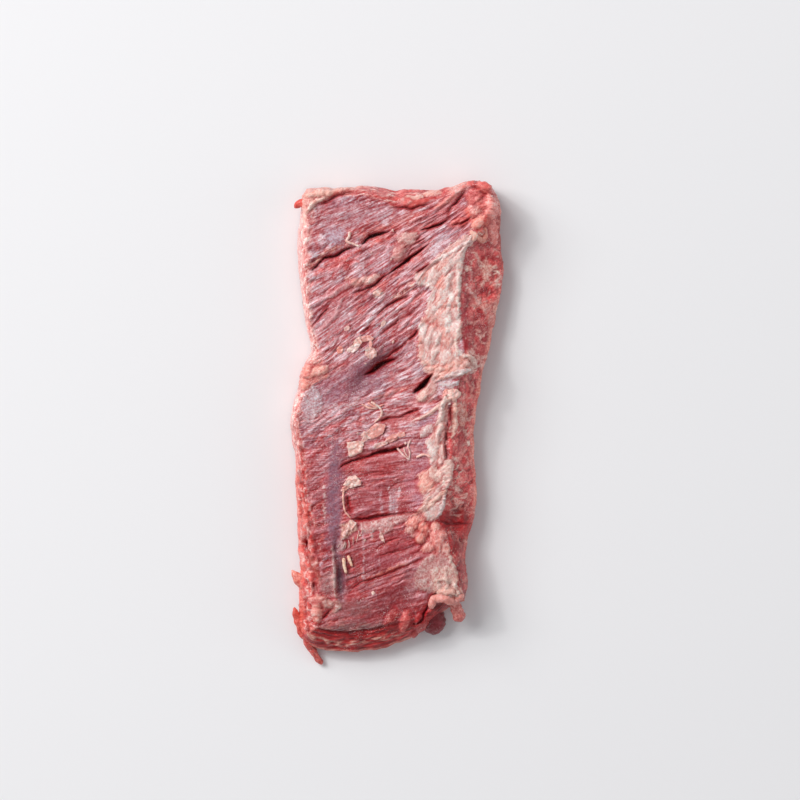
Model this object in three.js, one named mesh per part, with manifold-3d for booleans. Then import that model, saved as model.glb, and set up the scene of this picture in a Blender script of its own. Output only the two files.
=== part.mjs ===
// A raw thin-cut beef steak, a coarse-grained slab from the flank, lying flat with its seamed face up.
// Millimetres, +Z up. X runs across the steak, Y along it, and Z is its thickness.
// The origin is the centre of the steak's footprint, at the level of the table it lies on.
//
// The steak is one piece of meat, so it is one solid. Its top is a sheet of rows and columns. The rows run
// with the muscle grain, and the columns run along the steak and meet the crest of the fat seam. A rim under
// the widest outline rolls in to the flat underside. The scraps of meat and fat that hang off it are part of
// the same solid.
import * as THREE from "three";
import { mergeGeometries, mergeVertices } from "three/addons/utils/BufferGeometryUtils.js";
import Module from "manifold-3d";

// Driving dimensions
const LENGTH = 241.1;
const WIDTH = 106.4;
const LEAN_HEIGHT = 17.5; // of the lean top above the table
const CREST_LIFT = 4.5; // how far the fat seam's crest stands above the lean
const CREST_SPREAD = [17, 5.5]; // how far that rise reaches to the left of the crest, and to its right
const LEFT_RIM = 3.6; // height of the widest outline above the table along the thin left side
const RIGHT_RIM = 9; // and along the right side, which bulges
const RIM_RISE = [-10, 34]; // the x between which the outline rises from one to the other
const RIM_TUCK = 2.4; // how far the underside lies inside that outline
const FAT_LIFT = 1.1; // of the fat sheet above the lean beside it
const BUNDLE_RELIEF = 1.5; // from the groove to the top of a muscle bundle
const BUNDLE_WIDTH = 6.5;
const BUNDLE_LENGTH = 30;
const SLIT_HALF_WIDTH = 1.5; // least half width of an opened gap between bundles
const SLIT_ROLL = { deep: 1.3, wide: 5.5 }; // how far the bundles beside a gap roll down towards it
const RAGGEDNESS = 1.1; // how far the outline wanders in and out
const FACE_RELIEF = 1.6; // of the lumps on the sloping side faces

// How finely the sheet is divided
const LEAN_COLUMNS = 28;
const FACE_COLUMNS = 9;
const ROWS = 124;
const CREST_COLUMN = LEAN_COLUMNS / (LEAN_COLUMNS + FACE_COLUMNS);
const LEFT_CROWDING = 1.3; // above 1, columns crowd towards the steep left side
const END_CROWDING = 0.2; // above 0, rows crowd towards both ends

// Edges, as [x, y] from the end with high Y to the end with low Y
const LEFT_EDGE = [
  [-45, 116.2], [-46.8, 112], [-48.6, 97], [-48.8, 80], [-46, 54], [-42.7, 36], [-46, 29.5],
  [-48.5, 20], [-52.2, 0], [-50, -24], [-49, -55], [-48, -75], [-48.5, -96], [-46.5, -108],
];
const RIGHT_EDGE = [
  [46.5, 118.5], [49.5, 114], [51.7, 108], [52, 88], [53, 76], [51, 59.5], [46.5, 37.5], [42, 17],
  [39, -4], [39.3, -20], [40.3, -32], [38, -51.5], [35.2, -60], [34.5, -69], [35.6, -80], [34, -89],
];
const CREST = [
  [44, 119], [45.5, 114], [46.5, 108], [42.5, 98], [38.5, 92], [34, 84], [31.8, 66], [32, 46],
  [34, 30], [30, 18], [25.5, 0], [26.5, -28], [21.5, -47], [27, -65], [32, -89],
];
// The inner edge of the fat that covers the top as far as the crest
const FAT_EDGE = [
  [34, 92], [16, 77], [12.5, 68], [14, 58], [11, 38], [14, 25], [28, 20], [24, 12], [18, 2],
  [17, -14], [10, -32], [-2, -46], [6, -56], [11, -66], [9, -80], [20, -89],
];
// Edges, as [x, y] from the low X to the high X end
const TOP_EDGE = [
  [-45, 116.2], [-40, 117], [-23, 117], [-16.5, 118], [-8, 117], [2, 115.5], [26, 117], [37, 120.7],
  [43, 120.2], [46.5, 118.5],
];
const BOTTOM_EDGE = [
  [-46.5, -108], [-42, -111.5], [-35.5, -113.5], [-25.5, -114.7], [-9, -112.5], [5, -108.5],
  [14.5, -103], [25.5, -93], [30.5, -90], [34, -89],
];
// How wide the sloping side faces are, seen from above: [width, y] on the left, [x, width] at the ends
const LEFT_FACE = [[5, 116], [5, 86], [2.8, 60], [3, 40], [5, 27], [3.5, 5], [4.5, -20], [9, -70], [9, -108]];
const TOP_FACE = [[-46, 4], [-20, 5], [2, 8.5], [20, 6], [35, 3], [46, 3]];
const BOTTOM_FACE = [[-46, 3], [-38, 12], [-20, 16], [2, 12], [15, 9], [26, 7], [34, 6]];
// How round each side face is: 1 is a straight slope, and more is a fuller shoulder
const FULLNESS = { left: 2.3, right: 2, top: 1.8, bottom: 1.5 };
// How far a row climbs along the steak from its left end to the crest, as [v, share of the length]
const ROW_CLIMB = [
  [0, 0], [0.065, 0.05], [0.17, 0.12], [0.3, 0.04], [0.42, 0.1], [0.5, 0.07], [0.6, 0.16],
  [0.75, 0.2], [0.82, 0.21], [0.87, 0.16], [0.94, 0.07], [1, 0],
];
// Slope of the grain where it crosses the middle of the lean, as [slope, y]
const GRAIN_MIDDLE = -10;
const GRAIN_SLOPE = [
  [0.35, 118], [0.48, 95], [0.68, 70], [0.7, 45], [0.5, 22], [0.15, 0], [0.14, -35], [0.3, -58],
  [0.38, -75], [0.2, -100],
];

// Gaps that have opened between bundles: the points along each, its half width and its depth
const SLITS = [
  { path: [[-41.5, 76], [-34, 80.8], [-18, 88], [-8, 93.4], [-1, 95.5]], half: 1.8, deep: 5 },
  { path: [[-23, 63], [-8, 70.5], [2, 77.5], [14.5, 88]], half: 1.5, deep: 4 },
  { path: [[-6.5, 56.5], [9.5, 66]], half: 1.4, deep: 2.5 },
  { path: [[9.5, 73.5], [17, 78.5]], half: 1.4, deep: 3 },
  { path: [[14, 96.5], [19.5, 97.5], [25, 101]], half: 1.5, deep: 4 },
  { path: [[27, 98], [36, 101]], half: 1.4, deep: 3 },
  { path: [[5.5, 41.5], [11, 46.5]], half: 1.4, deep: 3 },
  { path: [[-20, 21], [-2, 33]], half: 5, deep: 5.5 },
  { path: [[9, 14], [18, 23]], half: 3.2, deep: 8 },
  { path: [[-27.5, -22.5], [-18, -17], [-8, -13.6], [3.5, -12]], half: 1.7, deep: 4 },
  { path: [[-22, -47.5], [-13, -48], [4.5, -44.5]], half: 2, deep: 3 },
  { path: [[-23, -81.5], [2, -71.5]], half: 1.5, deep: 2 },
  { path: [[-25.5, -59], [-27, -89]], half: 3.2, deep: 3.2 },
  { path: [[26.5, 10], [27.5, -4], [25, -20]], half: 2.4, deep: 3 },
  { path: [[20, -49.5], [37.5, -50.5]], half: 1.6, deep: 2.6 },
  { path: [[15.5, -91], [19, -84]], half: 2.4, deep: 5 },
  { path: [[16, -91], [8.5, -102]], half: 2, deep: 4 },
];
// Flakes and lumps of fat that stand up from the top: [x, y, radius, height]
const FLAKES = [
  [-16, 38, 4, 1.2], [-11.5, 33.5, 3, 1.5], [-19.5, -11.5, 4.5, 1.5], [-12.5, -6, 3.5, 1],
  [-22.5, -28.5, 4, 1.4], [-37, -92, 6, 1.4], [28, 25, 7, 1.8], [35, 27, 4, 2], [27, 14, 5, 1.8],
  [16, 11, 4.5, 2], [16, -31, 6, 1.6], [12, -52, 6.5, 1.8], [23, -83, 7, 1.6],
];
// Scraps that hang off the steak. Each runs along its points, [x, y, height of its middle above the table],
// with a half width and half thickness at each end.
const SCRAPS = [
  { path: [[-43, 107.5, 12], [-47.5, 108.8, 11.4], [-50.4, 106.6, 10]], half: [2.8, 1.1], thick: [2.6, 1] },
  { path: [[-42, -80.5, 7], [-48, -78.5, 6.5], [-52, -73.8, 6]], half: [6, 0.8], thick: [2.6, 0.8] },
  { path: [[-50.8, -92.4, 5.5], [-49.2, -98, 5], [-44, -108, 4.2]], half: [1.2, 3.6], thick: [1.2, 2.8] },
  { path: [[-42, -102, 6], [-43.6, -110, 4.4], [-37, -121, 1.7]], half: [5, 1.3], thick: [4, 1.2] },
  { path: [[3, -95, 8], [7.5, -102, 6.5], [9, -107.4, 4.4]], half: [5, 3.2], thick: [5, 3.4] },
  { path: [[13, -87, 9], [17.5, -96, 6.5], [20, -105.6, 3.6]], half: [6.5, 6], thick: [6, 3.4] },
  { path: [[24, -83, 14], [29.5, -91, 11.5], [32.5, -99, 8]], half: [5, 3.6], thick: [3.4, 3] },
];
const SCRAP_SIDES = 8;
const SCRAP_RINGS = 6;

const RAW_MEAT = new THREE.MeshStandardMaterial({ color: 0xa9545a, roughness: 0.42, metalness: 0 });

const { clamp, lerp, smoothstep } = THREE.MathUtils;

// Smooth curve through a list of pairs. key is the pair's index of the known value, ordered either way.
function through(list, key, at) {
  const rising = list[list.length - 1][key] > list[0][key];
  const pairs = rising ? list : list.slice().reverse();
  const value = 1 - key;
  const last = pairs.length - 1;
  if (at <= pairs[0][key]) return pairs[0][value];
  if (at >= pairs[last][key]) return pairs[last][value];
  let i = 0;
  while (pairs[i + 1][key] < at) i += 1;
  const slope = (k) => {
    const a = pairs[Math.max(k - 1, 0)];
    const b = pairs[Math.min(k + 1, last)];
    return (b[value] - a[value]) / (b[key] - a[key]);
  };
  const span = pairs[i + 1][key] - pairs[i][key];
  const t = (at - pairs[i][key]) / span;
  const t2 = t * t;
  const t3 = t2 * t;
  return (
    (2 * t3 - 3 * t2 + 1) * pairs[i][value] +
    (t3 - 2 * t2 + t) * span * slope(i) +
    (3 * t2 - 2 * t3) * pairs[i + 1][value] +
    (t3 - t2) * span * slope(i + 1)
  );
}

// Seeded value noise, from 0 to 1, the same on every run.
function lattice(i, j, seed) {
  const s = Math.sin(i * 127.1 + j * 311.7 + seed * 74.7) * 43758.5453;
  return s - Math.floor(s);
}

function noise(x, y, seed) {
  const i = Math.floor(x);
  const j = Math.floor(y);
  const fade = (t) => t * t * (3 - 2 * t);
  const a = fade(x - i);
  const b = fade(y - j);
  return lerp(
    lerp(lattice(i, j, seed), lattice(i + 1, j, seed), a),
    lerp(lattice(i, j + 1, seed), lattice(i + 1, j + 1, seed), a),
    b,
  );
}

const wander = (at, seed) => RAGGEDNESS * (noise(at / 5, 0.5, seed) + noise(at / 9, 0.5, seed + 1) - 1);
const leftEdge = (y) => through(LEFT_EDGE, 1, y) + wander(y, 11);
const rightEdge = (y) => through(RIGHT_EDGE, 1, y) + wander(y, 13);
const crest = (y) => through(CREST, 1, y);
const topEdge = (x) => through(TOP_EDGE, 0, x) + wander(x, 15);
const bottomEdge = (x) => through(BOTTOM_EDGE, 0, x) + wander(x, 17);

// The y at which the grain line through a point crosses the middle of the lean.
function grainLine(x, y) {
  let middle = y;
  for (let round = 0; round < 6; round += 1) {
    middle = y - through(GRAIN_SLOPE, 1, middle) * (x - GRAIN_MIDDLE);
  }
  return middle;
}

// Distance from a point to a path, and how far along the path the nearest point lies, from 0 to 1.
function nearestOn(path, x, y) {
  let best = { away: Infinity, along: 0 };
  for (let i = 0; i + 1 < path.length; i += 1) {
    const [ax, ay] = path[i];
    const [bx, by] = path[i + 1];
    const dx = bx - ax;
    const dy = by - ay;
    const t = clamp(((x - ax) * dx + (y - ay) * dy) / (dx * dx + dy * dy), 0, 1);
    const away = Math.hypot(x - ax - t * dx, y - ay - t * dy);
    if (away < best.away) best = { away, along: (i + t) / (path.length - 1) };
  }
  return best;
}

// From 0 at the outline to 1 where a sloping side face meets the top.
function shoulder(share, fullness) {
  const t = clamp(share, 0, 1);
  return 1 - (1 - t) ** fullness;
}

function sideProfile(x, y) {
  const left = shoulder((x - leftEdge(y)) / through(LEFT_FACE, 1, y), FULLNESS.left);
  const right = shoulder((rightEdge(y) - x) / (rightEdge(y) - crest(y)), FULLNESS.right);
  const top = shoulder((topEdge(x) - y) / through(TOP_FACE, 0, x), FULLNESS.top);
  const bottom = shoulder((y - bottomEdge(x)) / through(BOTTOM_FACE, 0, x), FULLNESS.bottom);
  return left * right * top * bottom;
}

function slitDepth(x, y) {
  let depth = 0;
  let roll = 0;
  for (const { path, half, deep } of SLITS) {
    const { away, along } = nearestOn(path, x, y);
    const swell = Math.sin(Math.PI * along);
    const reach = Math.max(half, SLIT_HALF_WIDTH) * (0.5 + 0.5 * swell);
    if (away < reach) depth = Math.max(depth, deep * (1 - away / reach) * (0.4 + 0.6 * swell));
    const besides = 1 - smoothstep(away, 0, SLIT_ROLL.wide);
    roll = Math.max(roll, Math.min(SLIT_ROLL.deep, deep / 3) * besides * (0.3 + 0.7 * swell));
  }
  return depth + roll;
}

function flakeHeight(x, y) {
  let lift = 0;
  for (const [cx, cy, radius, tall] of FLAKES) {
    const away = Math.hypot(x - cx, y - cy) / (radius * (0.8 + 0.5 * noise(x / 3, y / 3, 21)));
    if (away < 1) lift = Math.max(lift, tall * (1 - away * away));
  }
  return lift;
}

// Height of the widest outline above the table.
function rimHeight(x) {
  return lerp(LEFT_RIM, RIGHT_RIM, smoothstep(x, ...RIM_RISE));
}

// Height of the meat above the table.
function height(x, y) {
  const fromCrest = x - crest(y);
  const fatness = clamp((x - through(FAT_EDGE, 1, y)) / 4 + 0.5, 0, 1) * clamp(1 - fromCrest / 3, 0, 1);
  const lift = CREST_LIFT * Math.exp(-((fromCrest / CREST_SPREAD[fromCrest < 0 ? 0 : 1]) ** 2));
  const swell = 1.6 * (noise(x / 38 + 5, y / 45 + 3, 1) - 0.5);
  const bundle = Math.abs(2 * noise(x / BUNDLE_LENGTH, grainLine(x, y) / BUNDLE_WIDTH, 2) - 1);
  const lobe = Math.abs(2 * noise(x / 8, y / 14, 4) - 1);
  const lean = BUNDLE_RELIEF * (Math.min(1, bundle * 2.2) - 0.7) * (1 - fatness);
  const fat = FAT_LIFT * fatness * (0.6 + 0.7 * Math.min(1, lobe * 2));
  const top = LEAN_HEIGHT + lift + swell + lean + fat + flakeHeight(x, y) - slitDepth(x, y);
  const side = sideProfile(x, y);
  const lumps = FACE_RELIEF * 4 * side * (1 - side) * (noise(x / 5, y / 8, 6) + noise(x / 9, y / 17, 7) - 1);
  return lerp(rimHeight(x), top, side) + lumps;
}

// Where a column and a row of the sheet cross, from above. u runs across from 0 to 1, v along from 0 to 1.
function acrossAt(u, y) {
  if (u > CREST_COLUMN) return lerp(crest(y), rightEdge(y), (u - CREST_COLUMN) / (1 - CREST_COLUMN));
  return lerp(leftEdge(y), crest(y), (u / CREST_COLUMN) ** LEFT_CROWDING);
}

function planPoint(u, v) {
  const [lastBottomY, firstTopY] = [BOTTOM_EDGE[0][1], TOP_EDGE[0][1]];
  const top = topEdge(acrossAt(u, firstTopY));
  const bottom = bottomEdge(acrossAt(u, lastBottomY));
  const leanShare = Math.min(1, (u / CREST_COLUMN) ** LEFT_CROWDING);
  const along = v + through(ROW_CLIMB, 0, v) * (leanShare - 0.5);
  const y = lerp(bottom, top, along);
  return [acrossAt(u, y), y];
}

// Bends the nearest row or column on to each slit, so that its bottom is a clean crease in the mesh. The
// lines beside it give way in proportion, and so do its own ends past the slit's.
function creaseAtSlits(plan) {
  for (const { path } of SLITS) {
    const [first, last] = [path[0], path[path.length - 1]];
    const known = Math.abs(last[0] - first[0]) > Math.abs(last[1] - first[1]) ? 0 : 1;
    const [low, high] = [Math.min(first[known], last[known]), Math.max(first[known], last[known])];
    const grid = known === 0 ? plan : plan[0].map((_, j) => plan.map((row) => row[j]));
    const offset = (point) => through(path, known, point[known]) - point[1 - known];
    const inRange = (point) => point[known] >= low && point[known] <= high;
    const misfit = (points) => points.reduce((sum, p) => sum + Math.abs(offset(p)), 0) / points.length;
    const nearby = grid.map((line) => line.filter(inRange));
    const scores = nearby.map((points) => (points.length > 0 ? misfit(points) : Infinity));
    const chosen = scores.indexOf(Math.min(...scores));
    grid[chosen].slice(1, -1).forEach((point, k) => {
      const beyond = Math.max(low - point[known], point[known] - high, 0);
      const gap = offset(point) * Math.max(0, 1 - beyond / 7);
      grid.slice(1, -1).forEach((line, i) => {
        line[k + 1][1 - known] += gap * Math.exp(-(((i + 1 - chosen) / 2.6) ** 2));
      });
    });
  }
}

function plain(geometry) {
  geometry.deleteAttribute("normal");
  geometry.deleteAttribute("uv");
  return geometry;
}

// The top sheet: a flat grid laid over the plan and raised to the meat's height.
function topSheet(plan) {
  const sheet = plain(new THREE.PlaneGeometry(1, 1, plan[0].length - 1, plan.length - 1));
  const position = sheet.getAttribute("position");
  const columns = plan[0].length;
  plan.forEach((row, i) => {
    row.forEach(([x, y], j) => {
      const border = i === 0 || j === 0 || i === plan.length - 1 || j === columns - 1;
      position.setXYZ(i * columns + j, x, y, border ? rimHeight(x) : height(x, y));
    });
  });
  return sheet;
}

// The widest outline, anticlockwise from above, from the plan's border points.
function outlineOf(plan) {
  const lastRow = plan.length - 1;
  const lastColumn = plan[0].length - 1;
  const ring = [];
  for (let i = 0; i < lastRow; i += 1) ring.push(plan[i][0]);
  for (let j = 0; j < lastColumn; j += 1) ring.push(plan[lastRow][j]);
  for (let i = lastRow; i > 0; i -= 1) ring.push(plan[i][lastColumn]);
  for (let j = lastColumn; j > 0; j -= 1) ring.push(plan[0][j]);
  return ring.map(([x, y]) => new THREE.Vector2(x, y));
}

// The same outline drawn in by RIM_TUCK all round, for the flat underside.
function tuckedIn(ring) {
  const share = new THREE.Vector2(1 - (2 * RIM_TUCK) / WIDTH, 1 - (2 * RIM_TUCK) / LENGTH);
  return ring.map((point) => point.clone().multiply(share));
}

// The rim that rolls from the widest outline in to the underside.
function rim(outer, inner) {
  const band = plain(new THREE.PlaneGeometry(1, 1, outer.length, 1));
  const position = band.getAttribute("position");
  for (let i = 0; i <= outer.length; i += 1) {
    const [above, below] = [outer[i % outer.length], inner[i % outer.length]];
    position.setXYZ(i, above.x, above.y, rimHeight(above.x));
    position.setXYZ(i + outer.length + 1, below.x, below.y, 0);
  }
  return band;
}

function underside(inner) {
  const face = plain(new THREE.ShapeGeometry(new THREE.Shape(inner)));
  const index = face.getIndex();
  for (let i = 0; i < index.count; i += 3) {
    const [a, b] = [index.getX(i), index.getX(i + 1)];
    index.setX(i, b);
    index.setX(i + 1, a);
  }
  return face;
}

// A scrap: a ball drawn out along its path, flattened to its thickness.
function scrap({ path, half, thick }) {
  const line = new THREE.CatmullRomCurve3(path.map(([x, y, z]) => new THREE.Vector3(x, y, z)));
  const ball = plain(new THREE.SphereGeometry(1, SCRAP_SIDES, SCRAP_RINGS));
  const position = ball.getAttribute("position");
  for (let i = 0; i < position.count; i += 1) {
    const along = clamp(0.5 + position.getY(i) / 2, 0, 1);
    const roundness = Math.hypot(position.getX(i), position.getZ(i)) || 1;
    const fullness = Math.min(1, roundness * 1.25);
    const centre = line.getPoint(along);
    const tangent = line.getTangent(along);
    const sideways = new THREE.Vector3(tangent.y, -tangent.x, 0).normalize();
    const upward = new THREE.Vector3().crossVectors(sideways, tangent).normalize();
    const across = (position.getX(i) / roundness) * fullness * lerp(half[0], half[1], along);
    const up = (position.getZ(i) / roundness) * fullness * lerp(thick[0], thick[1], along);
    centre.addScaledVector(sideways, roundness > 1e-3 ? across : 0);
    centre.addScaledVector(upward, roundness > 1e-3 ? up : 0);
    position.setXYZ(i, centre.x, centre.y, Math.max(centre.z, 0.05));
  }
  return ball;
}

const wasm = await Module();
wasm.setup();

function solidOf(geometry) {
  const merged = mergeVertices(geometry, 1e-4);
  return new wasm.Manifold(
    new wasm.Mesh({
      numProp: 3,
      vertProperties: new Float32Array(merged.attributes.position.array),
      triVerts: new Uint32Array(merged.index.array),
    }),
  );
}

function geometryOf(solid) {
  const mesh = solid.getMesh();
  const position = new Float32Array(mesh.numVert * 3);
  for (let i = 0; i < mesh.numVert; i += 1) {
    position.set(mesh.vertProperties.subarray(i * mesh.numProp, i * mesh.numProp + 3), i * 3);
  }
  const geometry = new THREE.BufferGeometry();
  geometry.setAttribute("position", new THREE.BufferAttribute(position, 3));
  geometry.setIndex(new THREE.BufferAttribute(mesh.triVerts, 1));
  return geometry;
}

function slab() {
  const columns = LEAN_COLUMNS + FACE_COLUMNS;
  const plan = [];
  for (let i = ROWS; i >= 0; i -= 1) {
    const t = i / ROWS;
    const v = t - (END_CROWDING * Math.sin(2 * Math.PI * t)) / (2 * Math.PI);
    const row = [];
    for (let j = 0; j <= columns; j += 1) row.push(planPoint(j / columns, v));
    plan.push(row);
  }
  creaseAtSlits(plan);
  const outer = outlineOf(plan);
  const inner = tuckedIn(outer);
  return mergeGeometries([topSheet(plan), rim(outer, inner), underside(inner)].map((g) => g.toNonIndexed()));
}

// The whole steak, at its driving length and width and centred on the origin.
function steak() {
  let whole = solidOf(slab());
  for (const piece of SCRAPS) whole = whole.add(solidOf(scrap(piece)));
  const geometry = geometryOf(whole);
  geometry.computeBoundingBox();
  const size = geometry.boundingBox.getSize(new THREE.Vector3());
  const centre = geometry.boundingBox.getCenter(new THREE.Vector3());
  geometry.translate(-centre.x, -centre.y, -geometry.boundingBox.min.z);
  geometry.scale(WIDTH / size.x, LENGTH / size.y, 1);
  geometry.computeVertexNormals();
  const mesh = new THREE.Mesh(geometry, RAW_MEAT);
  mesh.name = "steak";
  return mesh;
}

const group = new THREE.Group();
group.add(steak());
export default group;
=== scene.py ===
"""A raw thin-cut beef steak on a pale table, seen from straight above.

Shapes are in millimetres on the table plane, X across the steak and Y along it, and are moved by ORIGIN and
turned into metres when a mesh is made. One closed body has its top and its underside laid out as grids, with
relief along the muscle grain, and colour carried by its points. Flakes, strings, folds of fat and hanging
scraps are pieces of their own.
"""

import itertools
import math

import bpy
import numpy as np
from mathutils.bvhtree import BVHTree
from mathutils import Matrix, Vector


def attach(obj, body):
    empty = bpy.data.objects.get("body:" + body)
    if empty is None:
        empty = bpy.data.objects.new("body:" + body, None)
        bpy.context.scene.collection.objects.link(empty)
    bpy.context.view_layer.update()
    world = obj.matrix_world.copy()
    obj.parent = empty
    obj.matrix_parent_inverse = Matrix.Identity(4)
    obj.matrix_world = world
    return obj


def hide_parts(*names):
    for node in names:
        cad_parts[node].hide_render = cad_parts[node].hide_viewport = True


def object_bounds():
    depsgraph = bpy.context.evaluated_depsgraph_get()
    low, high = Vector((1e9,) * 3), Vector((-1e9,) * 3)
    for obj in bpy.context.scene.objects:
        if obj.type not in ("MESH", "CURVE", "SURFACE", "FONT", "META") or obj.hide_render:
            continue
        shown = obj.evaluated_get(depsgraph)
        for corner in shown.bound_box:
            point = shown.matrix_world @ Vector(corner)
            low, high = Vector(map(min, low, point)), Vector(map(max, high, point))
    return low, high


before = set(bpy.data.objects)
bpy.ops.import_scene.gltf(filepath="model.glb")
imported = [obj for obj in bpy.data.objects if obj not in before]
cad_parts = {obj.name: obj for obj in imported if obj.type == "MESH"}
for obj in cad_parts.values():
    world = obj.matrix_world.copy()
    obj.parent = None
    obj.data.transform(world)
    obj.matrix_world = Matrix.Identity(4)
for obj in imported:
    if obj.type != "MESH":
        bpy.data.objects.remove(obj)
cad_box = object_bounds()

# Size and place
MM = 0.001
ORIGIN = (0.4, -0.45)  # of the solid, on the sheet the outline is drawn on
WIDTH, LENGTH = [(high - low) / MM for low, high in zip(*cad_box)][:2]
LEAN_HEIGHT = 17.5
SWELL = 1.6
CREST_LIFT = 4.5
CREST_SPREAD = (17, 5.5)  # to the left of the crest and to its right
FACE_RELIEF = 1.6
FULLNESS = {"left": 2.3, "right": 2, "top": 1.8, "bottom": 1.5}  # how rounded each side is
WALL_OVERLAP = 1.6  # of the wall's colour over the top
FAT_LIFT = 1.1

# The widest outline: its height at the left and the right, where that height changes, how far the steak
# draws in below it, and how ragged it is
LEFT_RIM, RIGHT_RIM = 3.6, 9
RIM_RISE = (-10, 34)
END_RISE = (-90, -105)
END_RIM = 0.6  # of the right side's rise, at the lower end
RIM_FLOOR = 0.8  # of the rim's height, which no opening goes below
RIM_TUCK = 2.8
RAGGEDNESS = 1.1
FRAY, FRAY_STEP = 0.35, 2.6

# Grid of the body: columns over the left wall, the lean top and the right face, and rows along the steak
WALL_COLUMNS = 16
LEAN_COLUMNS = 96
FACE_COLUMNS = 28
ROWS = 480
SIDE_RINGS = 11
ROW_KNOTS = ([0, 24, 460, 480], [0, 0.03, 0.97, 1])  # rows lie closer together at both ends
WALL_REACH = 0.06  # share of a row's climb that the left wall takes
# Steps in rows and columns round a square that is two divisions wide
ROUND_SQUARE = ((0, 0), (1, 0), (2, 0), (2, 1), (2, 2), (1, 2), (0, 2), (0, 1))

# Corner and size of the top, the underside and the sides on the sheet that colours are baked on
TOP_SHEET = (0.01, 0.01, 0.63, 0.92)
UNDER_SHEET = (0.67, 0.01, 0.32, 0.92)
SIDE_SHEET = (0.01, 0.95, 0.98, 0.04)

# Camera, table and light, in metres and watts
CAMERA_HEIGHT = 2.0
CAMERA_AIM = (2.0, 11.0)  # in millimetres, on the outline's sheet
FIELD_WIDTH = 0.4
SENSOR = 36  # in millimetres
VIEW_DEPTH = 20
TABLE_REACH, TABLE_LEVEL = 3, -5e-5
TABLE_COLOUR, TABLE_ROUGHNESS = (236, 235, 236), 0.7
ROOM_COLOUR, ROOM_LIGHT = (0.96, 0.97, 1.0, 1), 0.4
# Lights: name, place, side of the square and power
LIGHTS = [
    ("window", (-2.02, 1.52, 1.97), 2.1, 92),
    ("lamp", (-2.0, 1.5, 1.99), 0.3, 14),
    ("fill", (2.4, -0.3, 0.9), 1.5, 8),
]

# Outline, as in the solid: [x, y] from high to low Y, or from low to high X
LEFT_EDGE = [
    (-45, 116.2), (-46.8, 112), (-48.6, 97), (-48.8, 80), (-46, 54), (-42.7, 36), (-46, 29.5),
    (-48.5, 20), (-52.2, 0), (-50, -24), (-49, -55), (-48, -75), (-48.5, -96), (-46.5, -108),
]
RIGHT_EDGE = [
    (46.5, 118.5), (49.5, 114), (51.7, 108), (52, 88), (53, 76), (51, 59.5), (46.5, 37.5), (42, 17),
    (39, -4), (39.3, -20), (40.3, -32), (38, -51.5), (35.2, -60), (34.5, -69), (35.6, -80), (34, -89),
]
CREST = [
    (44, 119), (45.5, 114), (46.5, 108), (42.5, 98), (38.5, 92), (34, 84), (31.8, 66), (32, 46),
    (34, 30), (30, 18), (25.5, 0), (26.5, -28), (21.5, -47), (27, -65), (32, -89),
]
# Where the colour of the top gives way to that of the right face
FACE_LINE = [
    (41, 119), (36, 112), (35.5, 104), (39, 93), (34, 83), (31.8, 66), (32, 46), (34, 30), (30, 18),
    (25.5, 0), (26.5, -28), (21.5, -47), (27, -65), (32, -89),
]
TOP_EDGE = [
    (-45, 116.2), (-40, 117), (-23, 117), (-16.5, 118), (-8, 117), (2, 115.5), (26, 117), (37, 120.7),
    (43, 120.2), (46.5, 118.5),
]
BOTTOM_EDGE = [
    (-46.5, -108), (-42, -111.5), (-35.5, -113.5), (-25.5, -114.7), (-9, -112.5), (5, -108.5),
    (14.5, -103), (25.5, -93), (30.5, -90), (34, -89),
]
# How wide each side slopes, at places along it
LEFT_FACE = [(5, 116), (5, 86), (2.8, 60), (3, 40), (5, 27), (3.5, 5), (4.5, -20), (9, -70), (9, -108)]
TOP_FACE = [(-46, 4), (-20, 5), (2, 8.5), (20, 6), (35, 3), (46, 3)]
BOTTOM_FACE = [(-46, 3), (-38, 12), (-20, 16), (2, 12), (15, 9), (26, 7), (34, 6)]
# How much further up the right end of a row is than its left end, as shares of the steak's length
ROW_CLIMB = [
    (0, 0), (0.065, 0.05), (0.17, 0.12), (0.3, 0.04), (0.42, 0.1), (0.5, 0.07), (0.6, 0.16),
    (0.75, 0.2), (0.82, 0.21), (0.87, 0.16), (0.94, 0.07), (1, 0),
]
# Slope of the muscle grain, at places along the middle of the lean
GRAIN_MIDDLE = -10
GRAIN_SLOPE = [
    (0.35, 118), (0.48, 95), (0.68, 70), (0.7, 45), (0.5, 22), (0.15, 0), (0.14, -35), (0.3, -58),
    (0.38, -75), (0.2, -100),
]

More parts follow.
